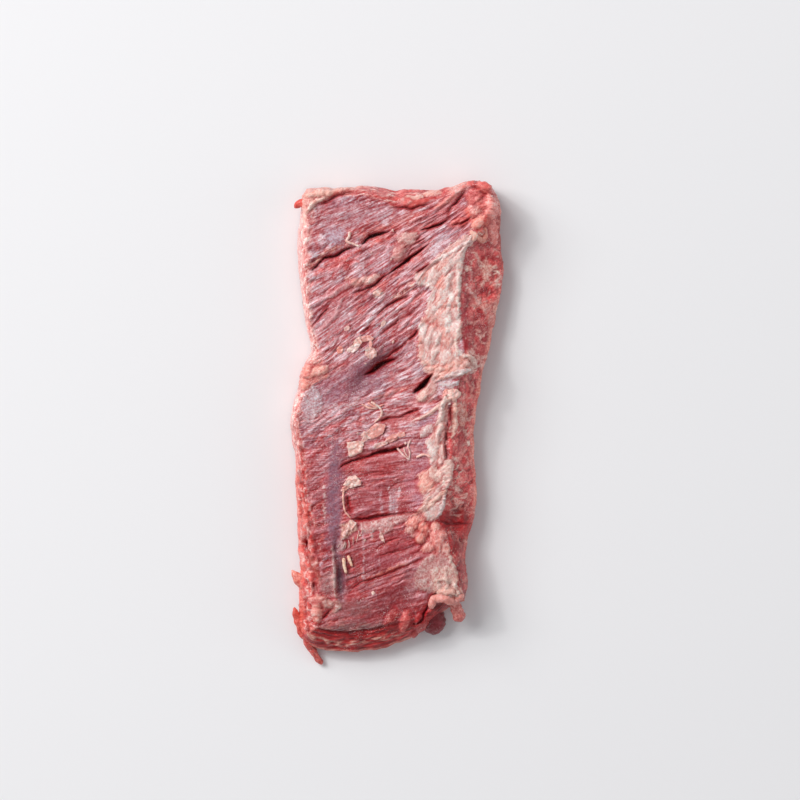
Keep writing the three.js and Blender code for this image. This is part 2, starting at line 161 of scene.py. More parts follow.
# Openings and creases in the meat: the path, half its width and its depth
NEAR = 7  # distance up to which an opening is felt
CREASES = [
    ([(-41.8, 75.3), (-35.2, 81.5), (-29.8, 82.6), (-24.8, 85.9), (-19.9, 87)], 1.5, 5.5),
    ([(-17, 88.2), (-13.2, 92), (-8.2, 93.4), (-3.2, 94.4)], 1.8, 6.5),
    ([(-21.5, 64.2), (-16.9, 65.4), (-11.1, 67.9), (-7, 71.6), (-3.3, 73.7)], 1.1, 3.5),
    ([(-3.3, 73.7), (3.8, 79), (8.3, 82.4), (14.8, 87.3)], 1.5, 5.5),
    ([(9.8, 74.1), (13.6, 76.2), (17.3, 78.6)], 0.9, 3),
    ([(12.3, 95.4), (16, 96), (19.4, 97.3), (22.7, 98.8), (25.6, 100.4)], 1.3, 4),
    ([(9.4, 88.6), (14.8, 91.1)], 0.8, 1.6),
    ([(26.8, 106.4), (29.8, 108.9), (32.2, 111.8), (33.5, 113.6)], 0.9, 2.5),
    ([(26.8, 106.4), (25.6, 101.4)], 0.8, 1.6),
    ([(26.8, 98.1), (32.2, 98.1), (34.3, 99.3), (37.6, 101.4)], 1, 2.5),
    ([(-3, 106.5), (4.4, 106.4), (7.3, 105.8), (10.7, 106.8), (14.8, 108)], 1, 2.5),
    ([(-39.3, 107.7), (-34, 109.3), (-30.6, 111.8), (-24, 113.9), (-17.8, 114.3)], 0.9, 2.2),
    ([(-42.6, 46.1), (-35.6, 54.8), (-33.1, 56.9)], 1, 1.8),
    ([(-9, 53.6), (-6.1, 56.5), (-1.2, 59.8), (2.1, 61.2), (6.7, 62.7)], 1, 3),
    ([(5.7, 40.7), (8.6, 42.8), (11.1, 46.1)], 1.1, 3),
    ([(-5.5, 31.2), (-2.2, 34.1), (2.8, 37.4), (6.1, 41.1)], 1, 2),
    ([(-9, 42.4), (0.9, 50.2), (9.2, 54.8)], 0.8, 1.6),
    ([(-18.2, 43.6), (-11.5, 47.8)], 0.8, 1.5),
    ([(-15.5, 23.6), (-11.5, 25.4), (-8.4, 28.2), (-3.6, 30.4), (0.6, 31.6)], 2.4, 5),
    ([(9, 14.6), (13.6, 18.6), (17.7, 23.3)], 2.7, 10),
    ([(-8.4, 0.6), (-4.3, 1.9), (3.2, 2.5)], 0.9, 2.5),
    ([(2, 2.6), (6, 4.6), (12.7, 6.9)], 1.1, 2.5),
    ([(-28.2, -23), (-25.7, -20.9), (-21.1, -18.9), (-16.1, -17.6), (-10.7, -16)], 1.2, 3.5),
    ([(-16.1, -17.6), (-7.8, -14.7), (-1.6, -13.9), (6.1, -11.4)], 1.8, 5),
    ([(-17.4, -25.9), (-10.7, -24.7), (-5.8, -24.3)], 0.8, 1.6),
    ([(-21.9, -48.3), (-14, -47.9), (-6.2, -46.2), (0.3, -45.4)], 1.6, 3.5),
    ([(0.3, -45.4), (11.9, -44.2)], 0.9, 1.8),
    ([(-24.2, -36), (-23.8, -41), (-21.5, -46)], 1.6, 2.2),
    ([(20.6, -48.7), (26, -50.4), (31, -50.4), (37.2, -50.4)], 1.2, 3),
    ([(25.2, -47), (29.3, -50.3)], 0.9, 1.8),
    ([(25.2, 0.6), (24.8, -5.5), (24.3, -12.2), (25.2, -19.3)], 1, 2.6),
    ([(26.8, 7.7), (26.8, 0.6)], 1.1, 2.2),
    ([(-31.9, -92.5), (-36.8, -97.9)], 1, 2.6),
    ([(-44.7, -57.3), (-45.1, -62.7)], 1.3, 2.2),
    ([(-40.2, -79.3), (-41, -82.2)], 1.2, 2),
    ([(-22.8, -83.8), (-18.2, -79.7), (-7.8, -76.4), (-1.6, -74.3), (3.4, -71.4)], 0.8, 1.8),
    ([(-9.9, -62.7), (-3.7, -59), (2.2, -56.9)], 0.8, 1.5),
    ([(-11.1, -66.8), (-1.6, -64.3), (5.9, -63.5)], 0.8, 1.5),
    ([(20.2, -84.7), (18.1, -87.1), (16.4, -89.6)], 1.9, 5),
    ([(16.4, -89.6), (14.4, -93.8), (13.1, -96.7), (8.6, -100.4)], 1.3, 4),
    ([(29.3, -72.2), (33.5, -74.7)], 1, 2),
    ([(31.2, -75.5), (31.6, -82.2)], 0.9, 1.8),
]
# Soft hollows: [x, y, half length, half width, turn in degrees], depth, colour and strength; the colour is
# partly the hollows' own dusky tone and partly painted shade, and mostly painted shadow at the pit near (-9,
# 27) and the crevice near (20.5, -91)
HOLLOWS = [
    ((-7.5, 29, 11, 4, 36), 2.2, (112, 38, 48), 0.8),
    ((-9.4, 27.4, 5.6, 1.8, 34), 1.4, (96, 22, 26), 0.8),
    ((-17, 19, 9, 5, 45), 1.2, (132, 72, 86), 0.5),
    ((-27.6, -78, 13, 2.4, 93), 2.6, (112, 74, 88), 0.85),
    ((-29.5, -62, 12, 2.6, 82), 1.2, (132, 84, 98), 0.7),
    ((-44.9, -60, 4, 1.4, 80), 1.8, (120, 30, 30), 0.9),
    ((-40.5, -81, 3, 1.2, 80), 1.6, (120, 30, 30), 0.8),
    ((33, -10, 9, 2.2, 85), 0.9, (138, 56, 62), 0.4),
    ((20.5, -91, 5.5, 2, 25), 1.8, (70, 8, 14), 0.85),
]
# Sheets of fat, outlined from above
FAT_SHEETS = [
    [
        (37.9, 91.1), (34, 93), (29.5, 90), (22, 84), (17.5, 78.5), (14, 76), (9.5, 74), (9.3, 71),
        (12, 67.5), (16.5, 67), (17.5, 64.5), (16, 61), (14.4, 53.6), (11.1, 47.4), (11.1, 40.3),
        (10.9, 32.9), (12.4, 28.7), (15.3, 24.5), (19, 21), (23.5, 20.5), (30.5, 22.5), (38, 24.5),
        (37.6, 26.6), (34.3, 32.9), (30.2, 37), (32.3, 41.1), (32.7, 47.4), (31.4, 57.7), (31.4, 66),
        (32.3, 71.2), (33.5, 79), (33, 84.5), (37, 87.5), (39.5, 90.5),
    ],
    [
        (26, 15.5), (22.5, 12), (21.5, 8), (21.3, 2.5), (19, -1.5), (18.3, -5.5), (14.5, -9.5), (16, -14),
        (16, -18), (17.5, -22), (12.5, -26), (12, -31), (13, -35), (13.5, -39), (12, -43), (14.5, -49),
        (21, -48), (22.5, -43), (24, -39), (25, -34.5), (27, -30.5), (27.8, -26.5), (27, -21), (25, -19.5),
        (24.3, -14), (24, -9.5), (24.8, -5.5), (25, 2.5), (26.3, 8), (28, 10.5), (31, 12), (30.5, 15.5),
    ],
]
# Thinner sheets over the lean: outline, colour, how much they cover, and how coarse their own grain is
LOBED_GRAIN = 1.1  # above which a sheet has lobes and not folds
FILMS = [
    ([(20, -63), (26.4, -64.4), (29.3, -76), (32.6, -85.5), (28, -87), (21, -89.2), (18.5, -84.7),
      (9.4, -82.2), (9, -76), (12.7, -68.9)], (204, 154, 146), 0.8, 0.5),
    ([(17.5, -72), (27.8, -71), (29.5, -77), (32.6, -86), (28, -88), (21, -89), (18.2, -84)],
     (222, 178, 164), 0.85, 0.7),
    ([(-50, 20), (-47, 28), (-42, 31), (-35, 27), (-32.5, 23), (-38, 20), (-44, 16.5)],
     (236, 146, 134), 0.8, 0.7),
    ([(-46, 13), (-44, 18), (-39, 17), (-36, 10), (-39, 3), (-44, 4)], (206, 176, 182), 0.6, 0.3),
    ([(-17.5, -50), (-10.5, -49), (-3, -46.8), (4.5, -45.3), (12, -44.5), (13.5, -46.5), (6, -48.5),
      (-0.5, -51), (-3, -54.5), (-6, -55.5), (-9, -53.5), (-15, -55), (-17.5, -53)],
     (222, 172, 166), 0.8, 0.6),
    ([(-28, -51), (-24, -49.5), (-20, -50), (-19, -53.5), (-22, -55), (-25, -58), (-28, -58.5), (-27, -54)],
     (226, 168, 150), 0.85, 0.9),
    ([(19, 21), (21, 18), (20, 13), (16, 9.5), (13, 10.5), (14, 15), (16.5, 19)], (222, 168, 162), 0.9, 0.6),
    ([(-47.5, 118), (-47, 104), (-44.3, 104), (-40.5, 107.4), (-36, 109.6), (-30, 111.9), (-25.5, 113.8),
      (-19.5, 115.4), (-15, 118)], (236, 158, 142), 0.9, 0.9),
    ([(35.6, 67.7), (38.9, 63.5), (42.7, 59.8), (48.7, 60.6), (51.3, 63.5), (51.5, 56), (49.5, 51.6),
      (48, 41), (46, 41), (46, 48.6), (43.4, 55), (38.9, 59)], (240, 150, 138), 0.75, 0.5),
    ([(42.6, 78), (44.7, 82), (46, 77.5), (49.5, 77.8), (47, 74.5), (46, 71), (42.8, 69), (43.6, 73.2),
      (40.8, 75.5)], (246, 176, 160), 0.85, 0.4),
    ([(27, 119), (33.5, 118), (38, 119.8), (40, 117), (34.5, 113.6), (30, 111.4), (27, 114)],
     (232, 134, 124), 0.6, 0.8),
    ([(6, -49), (9, -47), (13, -47.5), (17, -51), (18, -56), (15.5, -61), (11, -60), (7.5, -56)],
     (232, 132, 120), 0.8, 0.6),
    ([(15, -57), (17.5, -52), (21.5, -50.5), (25, -54), (26.5, -60), (24.5, -64.5), (20, -66), (16, -63)],
     (230, 128, 120), 0.8, 0.6),
    ([(11, -31), (12.5, -26.5), (16.5, -24.5), (20, -26), (20.5, -31), (17.5, -34.5), (13, -34.5)],
     (238, 160, 144), 0.8, 0.5),
    ([(20.5, -21), (24.5, -19.5), (27.5, -21.5), (27.5, -27), (25, -31), (21.5, -29)],
     (238, 190, 178), 0.9, 1.1),
    ([(-42.5, -86.5), (-38, -85.5), (-34, -87), (-33, -91), (-36.5, -94), (-37.5, -98), (-40, -98.5),
      (-41.5, -93)], (226, 150, 138), 0.9, 0.7),
    ([(-33.5, -90), (-30, -88), (-26.5, -89.5), (-27, -92), (-30, -95), (-33, -95.5)],
     (202, 146, 134), 0.8, 0.6),
    ([(12.5, -3.5), (15, -1), (18.5, -1.5), (18, -5), (14.5, -6)], (218, 172, 168), 0.85, 0.5),
    ([(27, 8), (30, 9.5), (35, 7), (36, 2), (33.5, -3), (30.5, -1), (31.5, 3), (28.5, 4)],
     (242, 168, 152), 0.85, 1.3),
    ([(13, 32), (19, 28.5), (26, 29), (31, 33), (37, 33.5), (38.5, 28), (35, 23.5), (28, 22), (21, 20.5),
      (15, 25)],
     (240, 166, 150), 0.85, 1.5),
    ([(0, 92.5), (5, 95), (10, 92.5), (9.5, 88.5), (4.5, 86), (1, 88.5)], (228, 170, 160), 0.75, 0.7),
    ([(-1, 88.5), (3, 86.5), (5.5, 82), (3.5, 79.5), (0.5, 82), (-1.5, 85.5)], (224, 158, 150), 0.7, 0.6),
]
# Tinted patches: [x, y, half length, half width, turn in degrees], colour, strength, and how much they smooth
PATCHES = [
    ((-43, 8.5, 10, 5, 80), (206, 168, 172), 0.75, 0.4),
    ((-42, 26, 10, 6, 62), (234, 140, 130), 0.9, 0.1),
    # This dark patch beside the hollow is painted shade
    ((-3, 33, 9, 7, 40), (134, 54, 64), 0.75, 0.1),
    ((-14, 26, 13, 5, 38), (128, 62, 76), 0.6, 0.3),
    ((-18, 21, 19, 10, 25), (146, 84, 100), 0.75, 0.6),
    ((-34, 14, 9, 9, 0), (158, 96, 112), 0.65, 0.5),
    ((-30.5, 92.7, 6, 5, 0), (206, 174, 186), 0.9, 0.6),
    ((-5, 81, 14, 6, 35), (228, 166, 172), 0.75, 0.1),
    ((-33, 56, 11, 13, 20), (214, 152, 158), 0.4, 0),
    ((-2, 7.5, 13, 7, 15), (228, 154, 154), 0.4, 0),
    ((-6, -97, 14, 5, 10), (120, 34, 42), 0.5, 0.1),
    ((-28.5, 101.5, 14, 8, 10), (168, 98, 106), 0.45, 0),
    ((-26, 84, 11, 4, 25), (206, 112, 122), 0.6, 0.6),
    ((-9, 104, 14, 5, 12), (182, 124, 132), 0.5, 0.1),
    ((21.5, 87.5, 9, 4.5, 45), (206, 176, 182), 0.65, 0.3),
    ((-30.5, -36, 30, 4.8, 88), (134, 96, 114), 0.92, 0.85),
    ((-27, -74, 18, 3, 92), (112, 66, 76), 0.8, 0.6),
    ((11, -30, 14, 7, 80), (186, 124, 140), 0.5, 0.3),
    ((16, 2, 7, 4, 50), (186, 160, 178), 0.65, 0.3),
    ((9, -79, 9, 6, 60), (150, 98, 102), 0.7, 0.6),
    ((0, -88, 9, 10, 30), (126, 38, 46), 0.7, 0.4),
    ((-23, -93, 13, 5, 6), (142, 88, 88), 0.75, 0.7),
    ((-34, -80.5, 7, 4.5, 80), (170, 122, 120), 0.75, 0.5),
    ((-27.5, 78.5, 9, 1.6, 18), (214, 80, 76), 0.75, 0),
    ((-8, 91, 9, 1.8, 24), (216, 86, 80), 0.7, 0),
    ((12, 96, 12, 2.6, 20), (214, 92, 86), 0.65, 0),
    ((-26, 64.5, 9, 3, 25), (206, 96, 98), 0.6, 0),
    ((-9, 64, 3, 2.4, 0), (232, 192, 178), 0.8, 0),
    ((-1.5, -40, 7, 2.4, 85), (218, 184, 190), 0.7, 0.3),
    ((22, 20, 7, 4, 10), (226, 208, 212), 0.6, 0.3),
    ((-30, 110, 14, 4, 8), (166, 104, 120), 0.5, 0.1),
    ((-13, -37, 15, 6, 0), (170, 74, 80), 0.5, 0.1),
    ((-7, -20.6, 19, 7, 5), (172, 40, 44), 0.65, 0),
    ((-4, -67, 14, 6, 15), (168, 78, 88), 0.55, 0.2),
    ((4, 4, 12, 5, 20), (206, 92, 90), 0.5, 0),
    ((24, 106, 13, 5.5, 40), (208, 86, 88), 0.6, 0),
    ((7, 101, 9, 3.6, 18), (226, 112, 104), 0.6, 0),
    ((34, 104, 7, 4, 20), (206, 78, 78), 0.6, 0),
]
# Pale lines that stand up and dark red ones that lie deep: path, half width, colour and strength
GASH_GREEN = 70  # of a line's colour, up to which it lies deep
LINES = [
    ([(-23.5, 70.5), (-20, 68.5), (-15, 68.5), (-11, 71)], 1.8, (236, 170, 160), 0.8),
    ([(-1.5, 61), (3, 64), (8, 68)], 1.5, (234, 170, 156), 0.75),
    ([(-40, 73), (-33, 79.5), (-27, 80.6), (-20, 84.6), (-9, 89.6), (0, 93)], 1.1, (216, 78, 72), 0.8),
    ([(-20, 62.8), (-13, 64.8), (-6, 69), (3, 76), (12, 83.5)], 1, (214, 84, 78), 0.75),
    ([(-41, 78), (-35, 84.5), (-29, 86), (-23, 89)], 1.5, (236, 160, 146), 0.7),
    ([(-17, 91.5), (-12, 95.5), (-4, 97)], 1.3, (226, 122, 112), 0.7),
    ([(-32, 72), (-29, 78), (-24, 79.5), (-19, 80)], 0.8, (206, 60, 60), 0.75),
    ([(35.6, 103.9), (42.2, 103.7)], 0.6, (238, 170, 156), 0.7),
    ([(-37.7, -71), (-33.1, -64.4)], 0.5, (206, 176, 188), 0.6),
    ([(-35.3, -32), (-35.6, -42), (-35.3, -50)], 0.6, (222, 182, 176), 0.75),
    ([(-16.3, -52.5), (-16.1, -65), (-16.5, -79.5)], 0.45, (214, 170, 174), 0.6),
    ([(-8, -50), (-8.2, -60), (-8, -72)], 0.45, (210, 164, 168), 0.5),
    ([(-12.5, -48), (-12, -58)], 0.9, (222, 182, 180), 0.6),
    ([(-3.2, -33), (-2.4, -40), (-3, -47)], 0.6, (224, 190, 192), 0.7),
    ([(1.6, -33), (1.4, -40), (0.2, -46)], 0.6, (224, 190, 192), 0.7),
    ([(-7.8, -34.6), (-6.6, -46.2)], 0.5, (214, 170, 176), 0.6),
    ([(-36, 13.5), (-28, 20.5), (-20, 24)], 0.9, (204, 150, 156), 0.6),
    ([(-44, 2.5), (-37, 6.6), (-29, 8.4), (-20, 8.6)], 0.9, (216, 170, 172), 0.7),
    ([(-42, 22), (-40, 12), (-41, 2)], 0.6, (226, 196, 196), 0.6),
    ([(-39, 16), (-37.5, 8), (-38, 0)], 0.6, (222, 190, 192), 0.6),
    ([(-31, 2), (-24, 7), (-18, 12)], 0.8, (214, 160, 160), 0.7),
    ([(-12, 11), (-2, 14.5), (8, 18)], 1, (222, 126, 118), 0.7),
    ([(44.9, 76), (41.2, 80.5), (38.5, 84.5)], 1, (246, 180, 166), 0.85),
    ([(45.5, 76), (49.5, 78)], 1, (246, 180, 166), 0.85),
    ([(44.5, 74), (43.8, 71), (42.4, 67.5)], 1.1, (246, 180, 166), 0.85),
    ([(34.8, 68.3), (38.2, 63), (41.4, 58.6)], 0.8, (246, 212, 204), 0.85),
    ([(39.5, 46), (42.5, 44), (41.5, 40)], 0.5, (240, 158, 146), 0.8),
    ([(38.2, 33.5), (41.5, 32), (45.5, 33)], 1, (246, 186, 172), 0.8),
    ([(35.5, 50), (39, 49.2), (42.5, 50)], 0.9, (244, 158, 148), 0.7),
    ([(40, 44), (42, 41.5), (44.2, 38.5)], 0.6, (248, 176, 164), 0.9),
    ([(42.2, 41.8), (43.6, 44.2)], 0.8, (248, 176, 164), 0.9),
    ([(36.6, 65), (41.2, 60)], 0.7, (252, 220, 212), 0.95),
    ([(36.8, 33), (40.5, 31.8), (43, 29)], 1.3, (246, 168, 156), 0.85),
    ([(38, 58), (42, 56.8), (46, 57.5)], 1.1, (246, 160, 148), 0.85),
    ([(37.2, 40), (39.6, 37)], 0.8, (236, 142, 134), 0.8),
    ([(45, 70.5), (48.5, 68)], 1, (246, 170, 158), 0.8),
    ([(36.6, 76), (37.6, 70), (36.4, 64)], 0.9, (228, 140, 136), 0.7),
    ([(34.6, 22), (37.8, 17), (37, 11)], 0.9, (240, 150, 138), 0.8),
    ([(31.5, -20), (34.8, -26), (33.6, -33)], 0.7, (232, 130, 120), 0.75),
    ([(36.8, -12), (37.6, -22)], 0.6, (236, 140, 128), 0.75),
    ([(30.6, -40), (33.8, -44.6), (36, -46)], 0.8, (226, 122, 112), 0.75),
    ([(29.4, -56), (32, -60), (31.6, -66)], 0.8, (224, 124, 112), 0.7),
    ([(33.5, -36), (36.5, -39), (34, -43)], 0.8, (236, 142, 132), 0.8),
    ([(30.5, -31), (31.5, -37)], 0.7, (226, 130, 122), 0.7),
    ([(36, -6), (33, -12), (35.5, -18), (34, -24)], 0.7, (244, 166, 156), 0.8),
    # Dark gashes in the left wall, deep red with painted shade in them
    ([(-46.2, -30), (-45.2, -38), (-45.6, -45)], 1, (150, 20, 22), 0.85),
    ([(-44.5, -57), (-43.6, -66), (-42, -73)], 0.9, (156, 24, 24), 0.8),
    ([(-41.5, -76), (-40, -82), (-40.6, -86)], 0.9, (150, 20, 22), 0.85),
    ([(-45.6, -88), (-44.6, -96), (-44.2, -104)], 0.9, (156, 24, 24), 0.7),
    ([(-47.4, -12), (-46.8, -20), (-47.2, -27)], 0.8, (170, 34, 34), 0.7),
    ([(8.5, 0.5), (13, 2.4), (18, 6)], 1, (226, 176, 170), 0.8),
    ([(-14, -78), (-2, -72.5), (6, -69.5)], 0.8, (226, 122, 100), 0.6),
]

# Folds and ridges of fat on the surface: path, half width, height and colour
RIDGES = [
    ([(37.5, 92), (33, 84.5), (31.5, 79), (31, 71), (30.8, 62), (31, 53)], 1.3, 0.9, (244, 212, 202)),
    ([(36.5, 90), (30, 86), (24, 82), (17, 78.5), (11, 71)], 1.2, 0.9, (236, 200, 194)),
    ([(33.5, 86), (28, 79), (24.5, 73)], 1.2, 0.8, (240, 204, 196)),
    ([(25.5, 70), (27.5, 62), (25.5, 55)], 1.4, 0.6, (242, 210, 202)),
    ([(16.5, 44), (15.2, 38), (17, 33)], 1.7, 0.7, (236, 196, 188)),
    ([(22, 44), (20.5, 37), (18, 31)], 1.9, 0.8, (236, 196, 188)),
    ([(31.5, 47.5), (29.5, 41), (30.5, 34)], 1.1, 0.9, (244, 204, 192)),
    ([(33.5, 33.5), (37.5, 31.5), (39.2, 27)], 1.5, 1.4, (246, 206, 194)),
    ([(24.5, 22.5), (30, 24), (35.5, 26.5)], 1.5, 1.2, (232, 208, 204)),
    ([(22.5, 19), (27, 18), (31, 20)], 1.4, 1, (218, 194, 194)),
    ([(18.6, 22), (17, 17), (13.4, 11)], 2.7, 1.6, (224, 174, 166)),
    ([(31, 13), (27, 11.5), (22, 8.5), (16.5, 4), (11.5, 1.5)], 1.3, 1.2, (240, 188, 174)),
    ([(25, 13), (22.8, 8), (22.4, 1), (21, -5), (20.6, -12)], 1.6, 1.2, (242, 202, 192)),
    ([(29, 11), (28.6, 5), (29.4, -1), (27.8, -7)], 1.3, 1.2, (244, 190, 174)),
    ([(25, 2), (24.6, -6), (23.4, -14), (24, -20)], 1.1, 0.9, (238, 196, 186)),
    ([(27.5, -22), (26.8, -28), (24.5, -33)], 1.2, 1.1, (242, 204, 192)),
    ([(24.5, -34), (19, -38.5), (13.5, -43), (8.5, -46)], 1.4, 1.1, (240, 186, 170)),
    ([(24.8, -36), (22.6, -42), (20.6, -47)], 1.3, 1, (222, 192, 188)),
    ([(17, -36), (14.5, -40.5), (11, -43.5)], 1, 0.8, (232, 176, 164)),
    ([(23.5, -62), (26.5, -67), (29, -73), (31, -80), (32.5, -86)], 1, 1, (230, 190, 176)),
    ([(19.5, -76), (21.5, -80.5), (20.5, -85)], 1.2, 0.9, (222, 178, 166)),
    ([(19.5, -78.5), (24, -77.5), (28.5, -79.5), (31, -84)], 1.3, 1.3, (230, 190, 176)),
    ([(24.5, -73), (25.5, -79), (25, -86)], 1, 1, (214, 168, 156)),
    ([(20.5, -82.5), (25, -82), (30, -85)], 1.1, 1.2, (228, 182, 168)),
    ([(-31.5, -62), (-30.4, -71), (-30.8, -79), (-29.6, -87)], 1.2, 1.1, (196, 142, 136)),
    ([(-44.6, 112), (-38.5, 113.4), (-30.5, 113.7), (-24, 115.4)], 1.6, 1.2, (248, 176, 160)),
    ([(-46, 110), (-44.8, 105), (-45.2, 98)], 1.1, 0.7, (248, 184, 172)),
    ([(-44, 104), (-40.5, 109), (-36, 111)], 1.4, 1.1, (248, 198, 184)),
    ([(0.3, 111.5), (5, 108.9), (10, 108), (15, 109.8)], 2.1, 1.3, (224, 92, 86)),
    ([(4, 112), (9, 111.4), (13.4, 112.4)], 1, 0.7, (246, 184, 170)),
    ([(20, 107), (26, 110), (30, 113), (34, 117)], 1.6, 1.1, (232, 136, 128)),
    ([(36, 118.5), (41, 118), (45.5, 115.5)], 2.2, 1.3, (226, 92, 84)),
    ([(41, 108.5), (45, 105.5), (48.5, 107)], 1.5, 1, (228, 108, 98)),
    ([(34.5, 105), (38, 100.5), (41, 97), (43.5, 93)], 1.7, 1.2, (230, 98, 86)),
    ([(-43, -66), (-40.5, -72), (-38, -78)], 1.4, 1, (196, 92, 84)),
    ([(-46.5, -38), (-45, -48), (-46, -56)], 1.3, 0.9, (224, 100, 90)),
    ([(-27, 60.5), (-30, 53), (-37, 46)], 1.5, 0.7, (206, 130, 134)),
    ([(-19, 71), (-25, 67.5), (-33, 62)], 1.4, 0.7, (214, 140, 142)),
]

# Mounds of fat and meat: [x, y, half length, half width, turn in degrees], height and colour
FATTY_GREEN = 120  # of a mound's colour, above which it is fat
MOUNDS = [
    ((9.5, -50, 4.6, 3.4, 20), 1.8, (240, 148, 134)),
    ((14.3, -52.6, 3.8, 3, -30), 2, (240, 136, 122)),
    ((12.3, -57.6, 3.2, 2.6, 50), 1.6, (236, 144, 130)),
    ((20.6, -57.2, 4.4, 7, 8), 2.6, (240, 146, 136)),
    ((15.8, -62.2, 3, 2.6, 15), 1.4, (232, 150, 140)),
    ((25, -62.4, 2, 3, 0), 1.2, (236, 160, 148)),
    ((19.6, -51.6, 2.6, 2, 0), 1.4, (240, 170, 156)),
    ((7, -53.4, 2.4, 2, 0), 1, (230, 160, 150)),
    ((15.6, -29, 6.2, 4.8, 60), 1.3, (244, 172, 156)),
    ((24.4, -25, 3.8, 6.4, -20), 1.4, (242, 200, 188)),
    ((19.5, -25.5, 3, 4.5, 20), 0.9, (238, 186, 174)),
    ((15, -4, 4.2, 2.6, 35), 1, (226, 186, 182)),
    ((13.6, 13.4, 2.6, 4.2, -30), 1.6, (232, 182, 170)),
    ((-45, 24.4, 4.6, 4, 30), 2, (242, 148, 134)),
    ((-38, 25.6, 4.8, 2.6, 20), 1.5, (244, 168, 154)),
    ((-46, 19, 3, 3, 0), 1.5, (240, 150, 136)),
    ((-38.6, -88.6, 4.6, 3.2, 10), 2, (234, 150, 140)),
    ((-39.6, -95, 3.2, 5.2, 0), 1.8, (232, 142, 130)),
    ((-33.6, -90, 2.8, 2.6, 0), 1.3, (214, 150, 140)),
    ((-13, 70.6, 6.2, 2.2, 14), 1.3, (240, 178, 168)),
    ((-20, 69, 3.6, 1.8, -10), 1.1, (238, 164, 154)),
    ((5.6, 91, 5, 3.6, 20), 1.1, (228, 168, 160)),
    ((1.4, 84, 3, 4.6, -30), 1, (226, 150, 144)),
    ((45, 116.4, 5.4, 3.4, -20), 1.8, (240, 112, 104)),
    ((38.6, 112, 4, 4, 0), 1.4, (222, 106, 104)),
    ((46.2, 107, 3.6, 4.6, 0), 1.4, (240, 124, 116)),
    ((45, 100.6, 2.8, 4.6, -20), 1.5, (250, 138, 122)),
    ((47.6, 105, 3.2, 8, 6), 2.2, (255, 160, 150)),
    ((48.6, 94, 2.6, 6, 0), 1.4, (255, 150, 140)),
    ((49.6, 55.6, 1.4, 3, 10), 0.8, (250, 176, 160)),
    ((40.6, 99, 2.6, 4, -30), 1.3, (252, 160, 144)),
    ((31, 99, 4.4, 2.4, 10), 1, (224, 112, 108)),
    ((18, 114, 5, 2, 5), 1, (244, 172, 158)),
    ((-27, -61, 2.4, 3.4, 0), 0.9, (190, 130, 130)),
    ((12.4, -100.6, 6.2, 3.6, 78), 2.6, (184, 44, 44)),
    ((4.4, -98.6, 5.6, 2.4, 74), 2.2, (214, 88, 84)),
    ((-2.4, -97, 5, 2.6, 60), 1.3, (170, 50, 50)),
]

CREAM, PALE, PINK, SALMON = (242, 206, 194), (234, 194, 186), (238, 172, 162), (234, 146, 132)
WHITE, BRIGHT_RED = (248, 226, 218), (226, 100, 88)

# Bits of fat on the meat: [x, y, half length, half width, turn in degrees], thickness, lift of the far edge
# and colour
FLAKES = [
    ((-21.3, 36.6, 3.7, 2.4, 40), 0.9, 1.3, WHITE),
    ((-19.2, 39.8, 2.6, 2, 60), 0.8, 1, CREAM),
    ((-14.2, 41.4, 4.6, 1.8, 8), 0.6, 0.6, PINK),
    ((-12.2, 34.4, 3.9, 3.2, 70), 0.7, 0.9, PALE),
    ((-12.6, 39, 1.2, 2.4, 0), 0.5, 0.4, PINK),
    ((-27.6, 36, 2.2, 1.6, 10), 0.6, 0.5, SALMON),
    ((-19.5, -12.5, 5.4, 3.8, 25), 0.9, 1.1, CREAM),
    ((-15.4, -8.4, 2.4, 1.6, 70), 0.6, 0.7, PALE),
    ((-10.4, -4.6, 5, 3, 30), 0.8, 1, PINK),
    ((-14.6, -6.4, 3, 1.6, -20), 0.6, 0.5, PALE),
    ((-21.2, -30, 5, 2.9, 20), 0.9, 1, CREAM),
    ((-25, -32.6, 2.7, 1.6, 35), 0.7, 0.7, PINK),
    ((-22.2, -51.6, 3.2, 2.2, 60), 0.9, 0.9, CREAM),
    ((-25.6, -55.8, 3.2, 1.4, 55), 0.7, 0.6, PALE),
    ((-6.9, -57.4, 2.6, 1.1, -80), 0.7, 0.6, CREAM),
    ((-9.4, 64.2, 2.2, 1.5, 20), 0.6, 0.4, CREAM),
    ((-24.2, 46.4, 1.7, 1.1, 30), 0.5, 0.4, PALE),
    ((-6.2, 49, 1.8, 0.9, 50), 0.5, 0.5, CREAM),
    ((-7.4, -11, 3.6, 1.5, 20), 0.7, 0.8, PALE),
    ((-1.8, -8.2, 4, 1.6, 28), 0.7, 0.8, PINK),
    ((2.6, -6.2, 2.4, 1.3, 10), 0.6, 0.5, PINK),
    ((28, 13.8, 3.8, 2.9, 20), 1.3, 0.6, CREAM),
    ((24.6, 14.6, 2.6, 2, 60), 1, 0.5, PINK),
    ((-11.3, -84.6, 1.2, 1, 0), 0.5, 0.2, CREAM),
]
# Rings of a flake, as shares of its reach: over its upper face, round its rim and in under it
FLAKE_RINGS = np.array([0.2, 0.4, 0.58, 0.74, 0.87, 0.96, 1, 0.9, 0.5])
UPPER_RINGS = 7

# Crumbs of fat: how many, and the middle and spread of each cluster
CRUMBS = 26
CRUMB_FLOOR = 13.5  # height of the meat below which no crumb lies
CRUMB_SPREAD = [
    (-18, 38, 9), (-14, -6, 10), (-20, -32, 6), (-18, -54, 7), (2, -10, 8), (0, 60, 16), (0, 88, 16),
]

